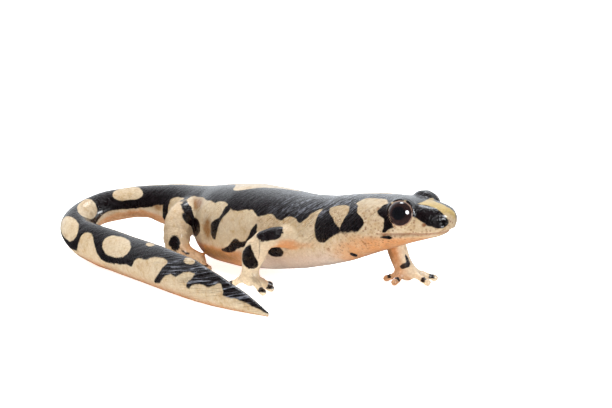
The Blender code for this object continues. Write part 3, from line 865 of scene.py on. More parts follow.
@dataclass(frozen=True)
class Bump:
    """Bell-shaped rise of the skin, or a dip where its height is negative."""

    height: float
    centre: float
    spread: float

    def over(self, away: Array) -> Array:
        """Height times the bell of the distance from the centre."""
        return self.height * bell(away, self.centre, self.spread)


@dataclass
class Head:
    """Details of the head: eyes and lids, line of the mouth with its lips, and nostrils."""

    eye: tuple[float, float, float] = (5.45, 3.0, 10.6)
    lid: tuple[float, float, float] = (5.42, 3.1, 10.72)
    eye_axis: tuple[float, float, float] = (-0.25, 0.95, 0.2)
    eye_out: float = 0.2
    eye_radius: float = 1.52
    lid_radius: float = 1.88
    rim: float = 0.17
    inset: float = 0.2
    opening: float = 70.0
    nostril: tuple[float, float, float] = (1.05, 1.6, 9.7)
    nostril_rim: Bump = Bump(0.1, 0.45, 0.16)
    nostril_pit: Bump = Bump(-0.34, 0.0, 0.26)
    groove: Bump = Bump(-0.2, 0.0, 0.12)
    upper_lip: Bump = Bump(0.08, 0.38, 0.22)
    lower_lip: Bump = Bump(0.07, -0.42, 0.25)
    mouth: Outline = (
        (-2.0, 8.95), (0.3, 8.85), (1.0, 8.55), (2.4, 8.38), (4.2, 8.42), (6.0, 8.32), (8.0, 8.3),
    )
    mouth_corner: float = 7.9

    def eye_place(self, body: Body, side: int) -> tuple[Array, Array]:
        """Find an eye.

        Args:
            body: The body that carries it.
            side: 1 for the right eye and -1 for the left one.

        Returns:
            Its centre and its outward direction.
        """
        station, out, height = self.eye
        axis = unit(np.array(self.eye_axis))
        base = np.array([station, side * out, height])
        step = axis * np.array([1, side, 1])
        centre = body.place(*(base + step * self.eye_out))
        tip = body.place(*(base + step * 4))
        return centre, unit(tip - centre)

    def shells(self, body: Body) -> list[Shell]:
        """Domes of the lids, which swell out of the head.

        Args:
            body: The body that carries the lids.

        Returns:
            A ball for each eye.
        """
        made = []
        for side in (1, -1):
            station, out, height = self.lid
            made.append(egg(body.place(station, side * out, height), (self.lid_radius,) * 3))
        return made

    def mouth_gap(self, lie: Lie) -> Array:
        """Height above the line of the mouth."""
        line = np.array(self.mouth)
        return lie.height - np.interp(lie.station, line[:, 0], line[:, 1])

    def relief(self, lie: Lie) -> Array:
        """Groove of the mouth between two lips, as a rise along the skin's outward direction.

        The groove and each lip are bells across the line of the mouth, and they fade at its corner.

        Args:
            lie: Where the skin's points lie.

        Returns:
            Rise of each point in shares.
        """
        gap = self.mouth_gap(lie)
        fade = ease(lie.station, self.mouth_corner + 0.5, self.mouth_corner - 0.8)
        lips = self.upper_lip.over(gap) + self.lower_lip.over(gap)
        return (self.groove.over(gap) + lips) * fade * (lie.station < 9)

    def open_eyes(self, points: Array, body: Body) -> Array:
        """Shape the skin round each eye into a lid with a round rim.

        A point near the eye keeps its direction from the eye's centre and gets a new distance: less than the
        eyeball's radius inside the opening, a little more on the rim, and its own further out.

        Args:
            points: Skin points.
            body: The body that carries the eyes.

        Returns:
            The moved points.
        """
        points = points.copy()
        for side in (1, -1):
            centre, axis = self.eye_place(body, side)
            away = points - centre
            far = np.linalg.norm(away, axis=1)
            spread = np.degrees(np.arccos(np.clip((away @ axis) / np.maximum(far, 1e-6), -1, 1)))
            rim = self.eye_radius + self.rim * ease(spread, self.opening - 3, self.opening + 9)
            rim -= self.inset * ease(spread, self.opening + 3, self.opening - 7)
            hold = ease(spread, self.opening + 42, self.opening + 12) * ease(far, 3.0, 2.1)
            wanted = far + (rim - far) * hold
            points = centre + away * (wanted / np.maximum(far, 1e-6))[:, None]
        return points

    def nostril_relief(self, points: Array, body: Body) -> Array:
        """Pit of each nostril inside a raised rim: a bell down and a wider ring up.

        Args:
            points: Points in shares.
            body: The body that carries the head.

        Returns:
            Rise of each point in shares.
        """
        station, out, height = self.nostril
        rise = np.zeros(len(points))
        for side in (1, -1):
            far = np.linalg.norm(points - body.place(station, side * out, height), axis=1)
            rise += self.nostril_rim.over(far) + self.nostril_pit.over(far)
        return rise


@dataclass
class Lens:
    """Opens the space round the head before the skin is remeshed, so that it gets finer faces there.

    Inside the radius, distances from the centre are stretched by one factor, and outside it everything
    moves out by what the edge has moved.
    """

    centre: tuple[float, float, float] = (14.0, 3.0, 9.0)
    radius: float = 7.0
    stretch: float = 1.6

    def open(self, points: Array) -> Array:
        """Move points into the opened space.

        Args:
            points: Points in shares.

        Returns:
            The moved points.
        """
        away = points - np.array(self.centre)
        far = np.maximum(np.linalg.norm(away, axis=1, keepdims=True), 1e-9)
        wide = np.where(far < self.radius, far * self.stretch, far + self.radius * (self.stretch - 1))
        return np.array(self.centre) + away * wide / far

    def close(self, points: Array) -> Array:
        """Move points back to their true places.

        Args:
            points: Points in the opened space.

        Returns:
            Points in shares.
        """
        away = points - np.array(self.centre)
        far = np.maximum(np.linalg.norm(away, axis=1, keepdims=True), 1e-9)
        edge = self.radius * self.stretch
        true = np.where(far < edge, far / self.stretch, far - self.radius * (self.stretch - 1))
        return np.array(self.centre) + away * true / far


class Wire:
    """A shader socket whose numbers take part in Python sums."""

    def __init__(self, web: "Web", socket: bpy.types.NodeSocket) -> None:
        """Keep the socket and the web that it belongs to."""
        self.web = web
        self.socket = socket

    def __add__(self, other: "Wire | float") -> "Wire":
        """Sum."""
        return self.web.maths("ADD", self, other)

    __radd__ = __add__

    def __sub__(self, other: "Wire | float") -> "Wire":
        """Difference."""
        return self.web.maths("SUBTRACT", self, other)

    def __rsub__(self, other: float) -> "Wire":
        """Difference from a number."""
        return self.web.maths("SUBTRACT", other, self)

    def __mul__(self, other: "Wire | float") -> "Wire":
        """Product."""
        return self.web.maths("MULTIPLY", self, other)

    __rmul__ = __mul__

    def rise(self, low: float, high: float) -> "Wire":
        """0 below low and 1 above high, with a smooth step between.

        Args:
            low: Value at which the step starts; it may be above high, and then the step falls.
            high: Value at which it ends.

        Returns:
            The step as a wire.
        """
        if low > high:
            return 1 - self.rise(high, low)
        settings = {"interpolation_type": "SMOOTHSTEP"}
        sockets = {"Value": self, "From Min": low, "From Max": high}
        return self.web.out(self.web.node("ShaderNodeMapRange", settings, sockets), "Result")


class Web:
    """The nodes of a material or a world, made by one method each."""

    def __init__(self, owner: bpy.types.Material | bpy.types.World) -> None:
        """Start with an empty tree.

        Args:
            owner: The material or world that the nodes belong to.
        """
        owner.use_nodes = True
        self.tree = owner.node_tree
        self.tree.nodes.clear()

    def node(self, kind: str, settings: dict[str, Any], sockets: dict[str | int, Any]) -> bpy.types.Node:
        """Add a node, set it up and then fill its sockets.

        Args:
            kind: The node's type.
            settings: Its properties by name.
            sockets: Values or wires by the socket's name or number.

        Returns:
            The new node.
        """
        made = self.tree.nodes.new(kind)
        for name, value in settings.items():
            setattr(made, name, value)
        for name, value in sockets.items():
            if isinstance(value, Wire):
                self.tree.links.new(value.socket, made.inputs[name])
            else:
                made.inputs[name].default_value = value
        return made

    def out(self, node: bpy.types.Node, name: str | int) -> Wire:
        """Wire from one of a node's outputs."""
        return Wire(self, node.outputs[name])

    def maths(self, operation: str, first: "Wire | float", second: "Wire | float") -> Wire:
        """Math node on two numbers."""
        return self.out(self.node("ShaderNodeMath", {"operation": operation}, {0: first, 1: second}), 0)

    def mix(self, share: "Wire | float", first: Any, second: Any) -> Wire:
        """Mix of two colours."""
        sockets = {0: share, 6: first, 7: second}
        return self.out(self.node("ShaderNodeMix", {"data_type": "RGBA"}, sockets), 2)

    def carried(self, name: str, output: str = "Fac") -> Wire:
        """What the mesh carries under a name: a number, or with the output "Vector" a vector."""
        return self.out(self.node("ShaderNodeAttribute", {"attribute_name": name}, {}), output)

    def here(self) -> Wire:
        """Object coordinates in metres."""
        return self.out(self.node("ShaderNodeTexCoord", {}, {}), "Object")

    def stretch(self, vector: Wire, scale: tuple[float, ...], turn: float) -> Wire:
        """Vector turned about Y and then scaled.

        Args:
            vector: The vector.
            scale: Factors along X, Y and Z.
            turn: Turn in degrees.

        Returns:
            The new vector.
        """
        sockets = {"Vector": vector, "Rotation": (0.0, math.radians(turn), 0.0)}
        turned = self.out(self.node("ShaderNodeMapping", {}, sockets), 0)
        return self.out(self.node("ShaderNodeMapping", {}, {"Vector": turned, "Scale": scale}), 0)

    def noise(self, vector: Wire, scale: float, detail: float = 2.0, roughness: float = 0.5) -> Wire:
        """Noise around 0, about half a unit either way."""
        sockets = {"Vector": vector, "Scale": scale, "Detail": detail, "Roughness": roughness}
        return self.out(self.node("ShaderNodeTexNoise", {}, sockets), "Fac") - 0.5

    def cells(self, vector: Wire, scale: float) -> Wire:
        """Distance to the nearest centre of random cells."""
        made = self.node("ShaderNodeTexVoronoi", {}, {"Vector": vector, "Scale": scale})
        return self.out(made, "Distance")

    def finish(self, shader: bpy.types.Node, end: str = "ShaderNodeOutputMaterial") -> None:
        """Join the shader to the tree's output."""
        self.tree.links.new(shader.outputs[0], self.tree.nodes.new(end).inputs["Surface"])


Colour = tuple[float, float, float, float]


@dataclass(frozen=True)
class SkinFinish:
    """Wet skin: black markings with pale highlights painted along the folds, over warm cream with freckles.

    The scales of the noises and cells are in waves per metre.
    """

    cream: Colour = (0.63, 0.47, 0.275, 1)
    tan: Colour = (0.46, 0.27, 0.12, 1)
    pale: Colour = (0.75, 0.64, 0.47, 1)
    light: Colour = (0.94, 0.78, 0.55, 1)
    peach: Colour = (0.66, 0.28, 0.10, 1)
    ochre: Colour = (0.30, 0.14, 0.045, 1)
    belly: Colour = (0.68, 0.55, 0.45, 1)
    black: Colour = (0.004, 0.001, 0.0015, 1)
    soot: Colour = (0.011, 0.006, 0.008, 1)
    # Pale bluish grey painted into the black as highlights along the wet folds.
    painted_sheen: Colour = (0.27, 0.285, 0.34, 1)
    freckle: Colour = (0.26, 0.10, 0.035, 1)
    # Dark orange-brown of the mouth line: partly the lips' own brown, partly painted shade of the mouth's
    # groove.
    line: Colour = (0.34, 0.14, 0.07, 1)
    straw: Colour = (0.62, 0.44, 0.11, 1)
    blotch_scale: float = 260.0
    edge_scale: float = 900.0
    mottle_scale: float = 1100.0
    grain_scale: float = 1400.0
    fleck_scale: float = 950.0
    patchy_scale: float = 700.0
    pore_scale: float = 2300.0
    speck_scale: float = 2599.0
    bump_scale: float = 4600.0
    bump_height: float = 0.00022

    def between(self, web: Web, broad: Wire, fine: Wire, mottle: Wire) -> Wire:
        """Colour of the skin between the black markings.

        Noise mixes cream with a paler cream and with tan. The mesh's fields then lay the light limbs, the
        belly, the snout, the warm undersides, the stains, the freckles and the dark line of the mouth over
        it;
        that line is partly the lips' own brown and partly painted shade of the mouth's groove.

        Args:
            web: The material's nodes.
            broad: Noise of wide blotches.
            fine: Noise of fine grain.
            mottle: Noise of rough mottling.

        Returns:
            The colour.
        """
        own, freckles = web.here(), web.carried("freckles")
        colour = web.mix(broad * 1.4 + mottle * 1.8 + 0.5, self.cream, self.pale)
        colour = web.mix(mottle.rise(-0.02, -0.2) * 0.45, colour, self.tan)
        for name, tint in (("limb", self.light), ("belly", self.belly), ("straw", self.straw)):
            colour = web.mix(web.carried(name), colour, tint)
        warmth = web.carried("warmth") * (1 + fine * 0.9 + broad * 0.8)
        stain = web.carried("ochre") * (1 + fine * 1.2)
        grain = web.cells(own, self.speck_scale).rise(0.25, 0.55)
        colour = web.mix(warmth.rise(0.05, 1.05), colour, self.peach)
        colour = web.mix(stain.rise(0.05, 1.0), colour, self.ochre)
        colour = web.mix(grain * 0.16, colour, self.ochre)
        fleck = web.cells(own, self.fleck_scale).rise(0.36, 0.2)
        fleck = fleck * web.noise(own, self.patchy_scale, 1).rise(-0.02, 0.08)
        pores = web.cells(own, self.pore_scale).rise(0.46, 0.22) * (mottle * 2.6 + 0.75)
        colour = web.mix(freckles * 0.2, colour, self.tan)
        colour = web.mix((fleck * 0.8 + pores * 0.7) * freckles, colour, self.freckle)
        # Dark line along the mouth: partly the lips' own brown, partly painted shade of the mouth's groove.
        return web.mix(web.carried("line"), colour, self.line)

    def material(self) -> bpy.types.Material:
        """Pale skin with the black laid over it, wet folds along the body, and fine bumps.

        The skin is black where the carried distance to the markings, roughened by noise, falls below zero. A
        ridge runs where a stretched noise crosses zero, and along the ridges of the wet folds the black is
        painted a pale bluish grey as highlights.

        Returns:
            The material.
        """
        made = bpy.data.materials.new("wet_skin")
        web = Web(made)
        own, lie = web.here(), web.carried("lie", "Vector")
        broad, fine = web.noise(own, self.blotch_scale, 3), web.noise(own, self.grain_scale, 3)
        mottle = web.noise(own, self.mottle_scale, 4, 0.65)
        edge = web.carried("marking") + broad * 0.26 + web.noise(own, self.edge_scale, 3) * 0.42
        dark = edge.rise(0.09, -0.09)
        wavy = web.noise(web.stretch(lie, (2.7, 0.45, 0.45), 50), 1.0, 3, 0.55)
        ridge = web.maths("ABSOLUTE", web.noise(web.stretch(lie, (3.4, 0.5, 0.5), 46), 1.0, 2), 0)
        # Painted highlights: thin pale lines along the ridges of the wet folds, laid into the black as
        # colour.
        painted_lines = ridge.rise(0.045, 0.0) * web.carried("painted_glints") * (mottle * 1.6 + 0.8)
        black = web.mix((fine + 0.5).rise(0.45, 0.75), self.black, self.soot)
        colour = web.mix(dark, self.between(web, broad, fine, mottle), web.mix(painted_lines, black, self.painted_sheen))
        grain = web.cells(own, self.bump_scale) * 0.4 + web.noise(own, self.pore_scale, 3) * 0.5
        height = web.carried("folds") * (wavy * 3.6 - ridge * 8.5) + grain
        bump = web.node("ShaderNodeBump", {}, {
            "Strength": 0.8, "Distance": self.bump_height, "Height": height,
        })
        web.finish(web.node("ShaderNodeBsdfPrincipled", {}, {
            "Base Color": colour, "Roughness": 0.36 + fine * 0.2 - dark * 0.08, "Normal": web.out(bump, 0),
            "IOR": 1.4, "Specular IOR Level": 0.45, "Coat Weight": 0.7, "Coat Roughness": 0.15,
        }))
        return made


@dataclass(frozen=True)
class EyeFinish:
    """Black eye with a thin copper ring round its edge and a clear wet coat.

    The edges are in degrees from the eye's axis: where each starts and where it is full.
    """

    black: Colour = (0.004, 0.004, 0.006, 1)
    brown: Colour = (0.026, 0.013, 0.013, 1)
    copper: Colour = (0.40, 0.24, 0.17, 1)
    pupil_edge: tuple[float, float] = (26, 34)
    ring_start: tuple[float, float] = (60, 65)
    ring_end: tuple[float, float] = (79, 73)
    grain_scale: float = 4000.0

    def material(self) -> bpy.types.Material:
        """Colour by the angle from the eye's axis, broken up by fine noise.

        Returns:
            The material.
        """
        made = bpy.data.materials.new("wet_eye")
        web = Web(made)
        spread = web.carried("spread") + web.noise(web.here(), self.grain_scale, 2) * 5
        iris = web.mix(spread.rise(*self.pupil_edge), self.black, self.brown)
        ring = spread.rise(*self.ring_start) * spread.rise(*self.ring_end)
        colour = web.mix(ring * 0.8, iris, self.copper)
        shader = web.node("ShaderNodeBsdfPrincipled", {}, {
            "Base Color": colour, "Roughness": 0.05, "IOR": 1.38, "Coat Weight": 1.0,
            "Coat Roughness": 0.02,
        })
        web.finish(shader)
        return made


@dataclass
class Eye:
    """One eyeball, a ball with a slightly steeper clear front."""

    name: str
    node: str
    side: int
    rings: int = 60
    columns: int = 72
    bulge: float = 0.03
    bulge_spread: float = 38.0
    finish: EyeFinish = EyeFinish()

    def build(self, newt: "Newt") -> bpy.types.Object:
        """Ball whose rings stand round the eye's axis.

        The radius is the eye's own plus a low bell round the axis. The angle from the axis is kept for the
        colours.

        Args:
            newt: The newt that carries the eye.

        Returns:
            The finished piece.
        """
        centre, axis = newt.head.eye_place(newt.body, self.side)
        degrees = np.linspace(1.5, 178.5, self.rings)[:, None]
        spread = np.radians(degrees)
        angle = full_turn(self.columns)[None, :]
        first = unit(np.cross(axis, np.array([0.0, 0.0, 1.0])))
        second = np.cross(axis, first)
        radius = newt.head.eye_radius * (1 + self.bulge * bell(degrees, 0.0, self.bulge_spread))
        flat = np.cos(angle)[..., None] * first + np.sin(angle)[..., None] * second
        grid = centre + radius[..., None] * (
            np.cos(spread)[..., None] * axis + np.sin(spread)[..., None] * flat
        )
        shell = Shell.wrap(grid)
        shell.points = newt.to_world(shell.points)
        thing = shell.to_object(self.name)
        carry(thing.data, "spread", np.append(np.repeat(degrees, self.columns), [0.0, 180.0]))
        thing.data.shade_smooth()
        thing.data.materials.append(self.finish.material())
        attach(thing, "root")
        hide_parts(self.node)
        LOG.info("%s: %d faces", self.name, len(thing.data.polygons))
        return thing


@dataclass
class Skin:
    """The one closed skin over head, trunk, tail and limbs.

    It is smoothed in rounds: to even it out, to blend its joints, and once more after its relief.
    """

    voxel: float = 0.19
    even_rounds: int = 6
    joint_rounds: int = 26
    last_rounds: int = 2
    lens: Lens = field(default_factory=Lens)
    finish: SkinFinish = SkinFinish()

    def raw(self, newt: "Newt") -> bpy.types.Object:
        """Unite the overlapping forms into one surface of even faces, finer on the head.

        Args:
            newt: The newt whose forms they are.

        Returns:
            The object, still in the opened space of the lens.
        """
        shells = [newt.body.shell()] + newt.head.shells(newt.body)
        for limb in newt.limbs:
            shells += limb.shells()
        whole = Shell.join(shells)
        whole.points = self.lens.open(whole.points)
        thing = whole.to_object("newt_skin")
        step = thing.modifiers.new("unite", "REMESH")
        step.mode, step.voxel_size = "VOXEL", self.voxel
        shape = bpy.data.meshes.new_from_object(thing.evaluated_get(bpy.context.evaluated_depsgraph_get()))
        thing.modifiers.clear()
        old, thing.data = thing.data, shape
        bpy.data.meshes.remove(old)
        shape.name = "newt_skin"
        return thing

    def relax(self, points: Array, edges: Array, push: Array, back: float, rounds: int) -> Array:
        """Smooth by moving each point towards the mean of its neighbours.

        Args:
            points: The points.
            edges: Pairs of neighbours.
            push: Share of the way that each point moves.
            back: Share of the push that is undone after it, with the same rule, which keeps the size.
            rounds: How often this is done.

        Returns:
            The smoothed points.
        """
        a, b = edges.T
        count = np.bincount(edges.ravel(), minlength=len(points))
        for _ in range(rounds):
            for way in (1.0, -back) if back else (1.0,):
                total = np.stack([
                    np.bincount(a, points[b, k], len(points)) + np.bincount(b, points[a, k], len(points))
                    for k in range(3)
                ], axis=-1)
                points = points + (total / count[:, None] - points) * (push * way)[:, None]
        return points

    def normals(self, mesh: bpy.types.Mesh, points: Array) -> Array:
        """Outward directions at the points, after they are put into the mesh.

        Args:
            mesh: The mesh with these points.
            points: Points in shares.

        Returns:
            Unit vectors.
        """
        mesh.vertices.foreach_set("co", points.astype(np.float32).ravel())
        mesh.update()
        out = np.empty(len(points) * 3, dtype=np.float32)
        mesh.vertex_normals.foreach_get("vector", out)
        return out.reshape(-1, 3).astype(float)

    def build(self, newt: "Newt") -> bpy.types.Object:
        """Make the skin, smooth it, add its relief and give it the fields for its colours.

        Args:
            newt: The newt whose forms it covers.

        Returns:
            The finished piece.
        """
        thing = self.raw(newt)
        mesh = thing.data
        flat = np.empty(len(mesh.vertices) * 3, dtype=np.float32)
        mesh.vertices.foreach_get("co", flat)
        points = self.lens.close(flat.reshape(-1, 3).astype(float))
        edges = np.empty(len(mesh.edges) * 2, dtype=np.int32)
        mesh.edges.foreach_get("vertices", edges)
        edges = edges.reshape(-1, 2)
        points = self.relax(points, edges, np.full(len(points), 0.5), 1.04, self.even_rounds)
        lie, limbs = newt.body.lie(points), newt.limb_places(points)
        joint = newt.joint_softness(lie, limbs)
        points = self.relax(points, edges, 0.5 * joint, 0.0, self.joint_rounds)
        points = newt.head.open_eyes(points, newt.body)
        normals = self.normals(mesh, points)
        lie, limbs = newt.body.lie(points), newt.limb_places(points)
        points = points + normals * newt.relief(points, lie, limbs)[:, None]
        points = self.relax(points, edges, np.full(len(points), 0.35), 1.02, self.last_rounds)
        points[:, 2] = np.maximum(points[:, 2], 0.0)
        lie, limbs = newt.body.lie(points), newt.limb_places(points)
        mesh.vertices.foreach_set("co", newt.to_world(points).astype(np.float32).ravel())
        mesh.update()
        for name, values in newt.fields(lie, limbs).items():
            carry(mesh, name, values)
        mesh.shade_smooth()
        mesh.materials.clear()
        mesh.materials.append(self.finish.material())
        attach(thing, "root")
        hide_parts(*[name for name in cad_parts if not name.startswith("eye_")])
        LOG.info("skin: %d points, %d faces", len(points), len(mesh.polygons))
        return thing


@dataclass
class LimbPlace:
    """Where points lie on one limb and on its digits."""

    limb: Limb
    along: Array
    turn: Array
    clear: Array
    share: Array
    digit_clear: Array
    digit_share: Array


@dataclass
class Newt:
    """The whole animal: its forms, its relief and the fields that steer its colours."""

    body: Body = field(default_factory=Body)
    head: Head = field(default_factory=Head)
    limbs: tuple[Limb, ...] = LIMBS
    first_rib: float = 17.0
    rib_gap: float = 1.55
    rib_depth: float = 0.05
    fold_depth: float = 0.14
    crease_depth: float = 0.05
    wrinkle_depth: float = 0.05
    origin: Array = field(init=False)

    def __post_init__(self) -> None:
        """Find the frame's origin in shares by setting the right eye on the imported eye."""
        low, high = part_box("eye_right")
        packed = np.array((low + high) / 2) / UNIT
        self.origin = self.head.eye_place(self.body, 1)[0] - packed
        LOG.info("origin in shares: %s", np.round(self.origin, 3))

    def to_world(self, points: Array) -> Array:
        """Metres in the frame from shares."""
        return (points - self.origin) * UNIT

    def limb_places(self, points: Array) -> list[LimbPlace]:
        """Find where the points lie on each limb.

        Args:
            points: Points in shares.

        Returns:
            A place for each limb; points out of its reach keep the clearance FAR.
        """
        places = []
        for limb in self.limbs:
            line = limb.course()
            lines = [line] + limb.digits()
            box = np.concatenate(lines)[:, :3]
            near = ((points > box.min(axis=0) - 2.5) & (points < box.max(axis=0) + 2.5)).all(axis=1)
            values = np.zeros((6, len(points)))
            values[2] = values[4] = FAR
            along, turn, clear, share = limb.nearest(points[near], line)
            best, passed = np.full(near.sum(), FAR), np.zeros(near.sum())
            for digit in lines[1:]:
                _, _, away, part = limb.nearest(points[near], digit)
                passed = np.where(away < best, part, passed)
                best = np.minimum(best, away)
            values[:, near] = np.stack([along, turn, clear, share, best, passed])
            places.append(LimbPlace(limb, *values))
        return places

    def on_limb(self, lie: Lie, place: LimbPlace) -> Array:
        """Tell how far the points belong to a limb and not to the body.

        Args:
            lie: Where the skin's points lie on the body.
            place: Where they lie on the limb.

        Returns:
            Numbers from 0 to 1.
        """
        clear = np.minimum(place.clear, place.digit_clear)
        return ease(lie.clear - clear, -0.25, 0.55) * (clear < 1.2)

    def joint_softness(self, lie: Lie, limbs: list[LimbPlace]) -> Array:
        """Tell how strongly to smooth: most where a limb leaves the body and where digits part.

        Args:
            lie: Where the skin's points lie on the body.
            limbs: Where they lie on the limbs.

        Returns:
            Numbers from 0 to 1.
        """
        soft = np.full(len(lie.station), 0.1)
        for place in limbs:
            near = place.clear < 0.6
            root = bell(lie.clear - place.clear, 0.0, 0.9) * (place.clear < 1.5) * (place.share < 0.55)
            web = 0.5 * bell(place.digit_share, 0.25, 0.3) * (place.digit_clear < 0.5)
            wrist, elbow = bell(place.share, 0.93, 0.12) * near, bell(place.share, 0.58, 0.15) * near
            soft = np.maximum.reduce([soft, root, web, 0.8 * wrist, 0.5 * elbow])
        away = np.hypot(lie.station - self.head.eye[0], lie.height - 11.2)
        lids = bell(away, 1.5, 1.1) * (lie.station < 9)
        return np.clip(np.maximum(soft, 0.7 * lids), 0.0, 1.0)

    def relief(self, points: Array, lie: Lie, limbs: list[LimbPlace]) -> Array:
        """Rise of the skin: mouth, nostrils, throat fold, ribs, and wrinkles of elbows and digits.

        The grooves between ribs are narrow bells along the station, one rib gap apart, that fade towards
        back and belly. The elbows' wrinkles are a fine wave along the limb.

        Args:
            points: Skin points.
            lie: Where they lie on the body.
            limbs: Where they lie on the limbs.

        Returns:
            Rise of each point in shares.
        """
        belong = [self.on_limb(lie, place) for place in limbs]
        trunk = 1 - np.clip(sum(belong), 0, 1)
        rise = (self.head.relief(lie) + self.head.nostril_relief(points, self.body)) * trunk
        phase = (lie.station - self.first_rib) / self.rib_gap
        flank = ease(lie.station, 16.5, 18) * ease(lie.station, 36, 34.5)
        flank *= ease(lie.down, 40, 75) * ease(lie.down, 150, 125)
        fold = bell(lie.station, 12.3 + 0.4 * np.cos(np.radians(lie.girth)), 0.3) * ease(lie.down, 95, 125)
        ribs = bell(phase - np.round(phase), 0.0, 0.17) * flank
        rise -= (self.rib_depth * ribs + self.fold_depth * fold) * trunk
        for place, own in zip(limbs, belong):
            rise += self.wrinkle_depth * np.sin(place.along * 5.5) * own * bell(place.share, 0.62, 0.12)
            crease = bell(place.digit_share, 0.62, 0.06) + bell(place.digit_share, 0.82, 0.05)
            rise -= self.crease_depth * crease * (place.digit_clear < 0.3)
        return rise

    def marking(self, lie: Lie, limbs: list[LimbPlace]) -> Array:
        """Signed distance to the black: nearest of the dark markings, kept out of the pale ones.

        On a limb the limb's own markings take over, with the two distances blended where it leaves the body.

        Args:
            lie: Where the skin's points lie on the body.
            limbs: Where they lie on the limbs.

        Returns:
            Distances in shares, negative in the black.
        """
        length, scale = self.body.along_skin(lie.station), np.radians(1.0) * lie.radius
        found = np.full(len(length), FAR)
        for mark in MARKINGS:
            away = mark.distance(length, lie.girth, scale, self.body.along_skin)
            found = np.minimum(found, away) if mark.tone is Tone.DARK else np.maximum(found, -away)
        for place in limbs:
            paint = LIMB_PAINT[place.limb.name]
            own = self.on_limb(lie, place) * ease(place.share, 0.2, 0.36)
            scale = np.radians(1.0) * np.interp(place.share, [0, 0.5, 1], [1.7, 1.4, 1.2])
            limb = np.full(len(length), EDGE_REACH)
            for mark in paint.markings:
                limb = np.minimum(limb, mark.distance(place.along, place.turn, scale, lambda reach: reach))
            band = np.abs(place.digit_share - paint.band_at) * 2.4 - 0.3
            band = np.maximum(band, (0.36 - lie.height) * 1.4)
            digit = ease(place.digit_share, 0.25, 0.4) * (place.digit_clear < 0.5)
            limb = limb * (1 - digit) + band * digit + paint.fade
            found = found * (1 - own) + np.clip(limb, -EDGE_REACH, EDGE_REACH) * own
        return np.clip(found, -EDGE_REACH, EDGE_REACH)

    def fields(self, lie: Lie, limbs: list[LimbPlace]) -> dict[str, Array]:
        """Fields for the skin's colours, each a number or a vector per point.

        Args:
            lie: Where the skin's points lie on the body.
            limbs: Where they lie on the limbs.

        Returns:
            Arrays by name. The lie runs slower along the tail's end, so that the wrinkles turn along it
            there.
        """
        belong = [self.on_limb(lie, place) for place in limbs]
        limb = np.clip(sum(belong), 0, 1)
        station, down, gap = lie.station, lie.down, self.head.mouth_gap(lie)
        jaw = 0.95 * ease(station, 14, 8) * ease(gap, 0.1, -0.9)
        parts = [jaw, sum(part.over(lie) for part in CHEST)] + [part.over(lie) for part in WARM_PARTS]
        warmth = np.maximum.reduce(parts) * (1 - limb)
        ochre = sum(stain.over(lie) for stain in STAINS) * (1 - limb)
        light = np.zeros(len(station))
        for place, own in zip(limbs, belong):
            paint = LIMB_PAINT[place.limb.name]
            turn, half_turn, along, half_along = paint.stain
            under = 0.6 * ease(place.turn * paint.side, -20, -75)
            root = paint.warm_root * ease(place.turn, 12, -25) * ease(place.share, 0.52, 0.4)
            hand = 0.35 * ease(place.share, 0.75, 1.0)
            stain = bell(place.turn, turn, half_turn) * bell(place.along, along, half_along)
            warmth += own * np.clip(paint.warm + under + root - hand, 0, 1)
            warmth += own * paint.warm_end * ease(place.share, 0.66, 0.85)
            ochre += own * paint.stain_strength * stain
            ochre += own * paint.ochre_end * ease(place.share, 0.7, 0.95)
            light += own * paint.pale * (0.2 + 0.8 * ease(place.share, 0.4, 0.85))
        corner = self.head.mouth_corner
        # Dark line along the mouth, partly the lips' own brown and partly painted shade of the mouth's
        # groove.
        line = 0.75 * bell(gap, 0.0, 0.14) * ease(station, corner + 0.3, corner - 1.0)
        folds = (0.22 + sum(part.over(lie) for part in FOLDS)) * ease(station, 3.5, 7)
        run = np.interp(station, [0, 66, 80, 101], [0, 66, 72, 77.5])
        slant = np.interp(station, [50, 66], [1.0, -1.1])
        trunk = {
            # Where pale highlights are painted into the black along the wet folds.
            "painted_glints": sum(part.over(lie) for part in PAINTED_GLINT_BANDS), "belly": BELLY.over(lie), "line": line,
            "freckles": FRECKLES.over(lie) * ease(down, 150, 125),
            "straw": STRAW.over(lie) * ease(station, 6, 4),
        }
        return {name: values * (1 - limb) for name, values in trunk.items()} | {
            "lie": np.stack([run, lie.side, lie.height * slant], axis=-1),
            "marking": self.marking(lie, limbs), "warmth": warmth, "ochre": ochre, "limb": light,
            "folds": folds * (0.25 + 0.75 * ease(down, 110, 70)) * (1 - 0.6 * limb),
        }

    def build(self) -> list[bpy.types.Object]:
        """Make the skin and both eyes.

        Returns:
            The three pieces.
        """
        pieces = [Skin().build(self)]
        pieces.append(Eye("newt_eye_right", "eye_right", 1).build(self))
        pieces.append(Eye("newt_eye_left", "eye_left", -1).build(self))
        return pieces


WARM_WHITE = (1.0, 0.98, 0.95)


@dataclass(frozen=True)
class Softbox:
    """A round studio light that looks at the newt; place and size are in metres, the power in watts."""

    name: str
    place: tuple[float, float, float]
    size: float
    power: float
    shines: bool = True
    fills: bool = True
    tint: tuple[float, float, float] = (0.94, 0.97, 1.0)

    def build(self, target: Vector) -> bpy.types.Object:
        """Hang the light at its place.

        Args:
            target: Where it looks.

        Returns:
            The light.
        """
        lamp = bpy.data.lights.new(self.name, "AREA")
        lamp.shape, lamp.size, lamp.energy = "DISK", self.size, self.power
        lamp.color = self.tint
        thing = link(self.name, lamp)
        thing.visible_glossy, thing.visible_diffuse = self.shines, self.fills
        thing.location = self.place
        thing.rotation_euler = (target - Vector(self.place)).to_track_quat("-Z", "Y").to_euler()
        return thing


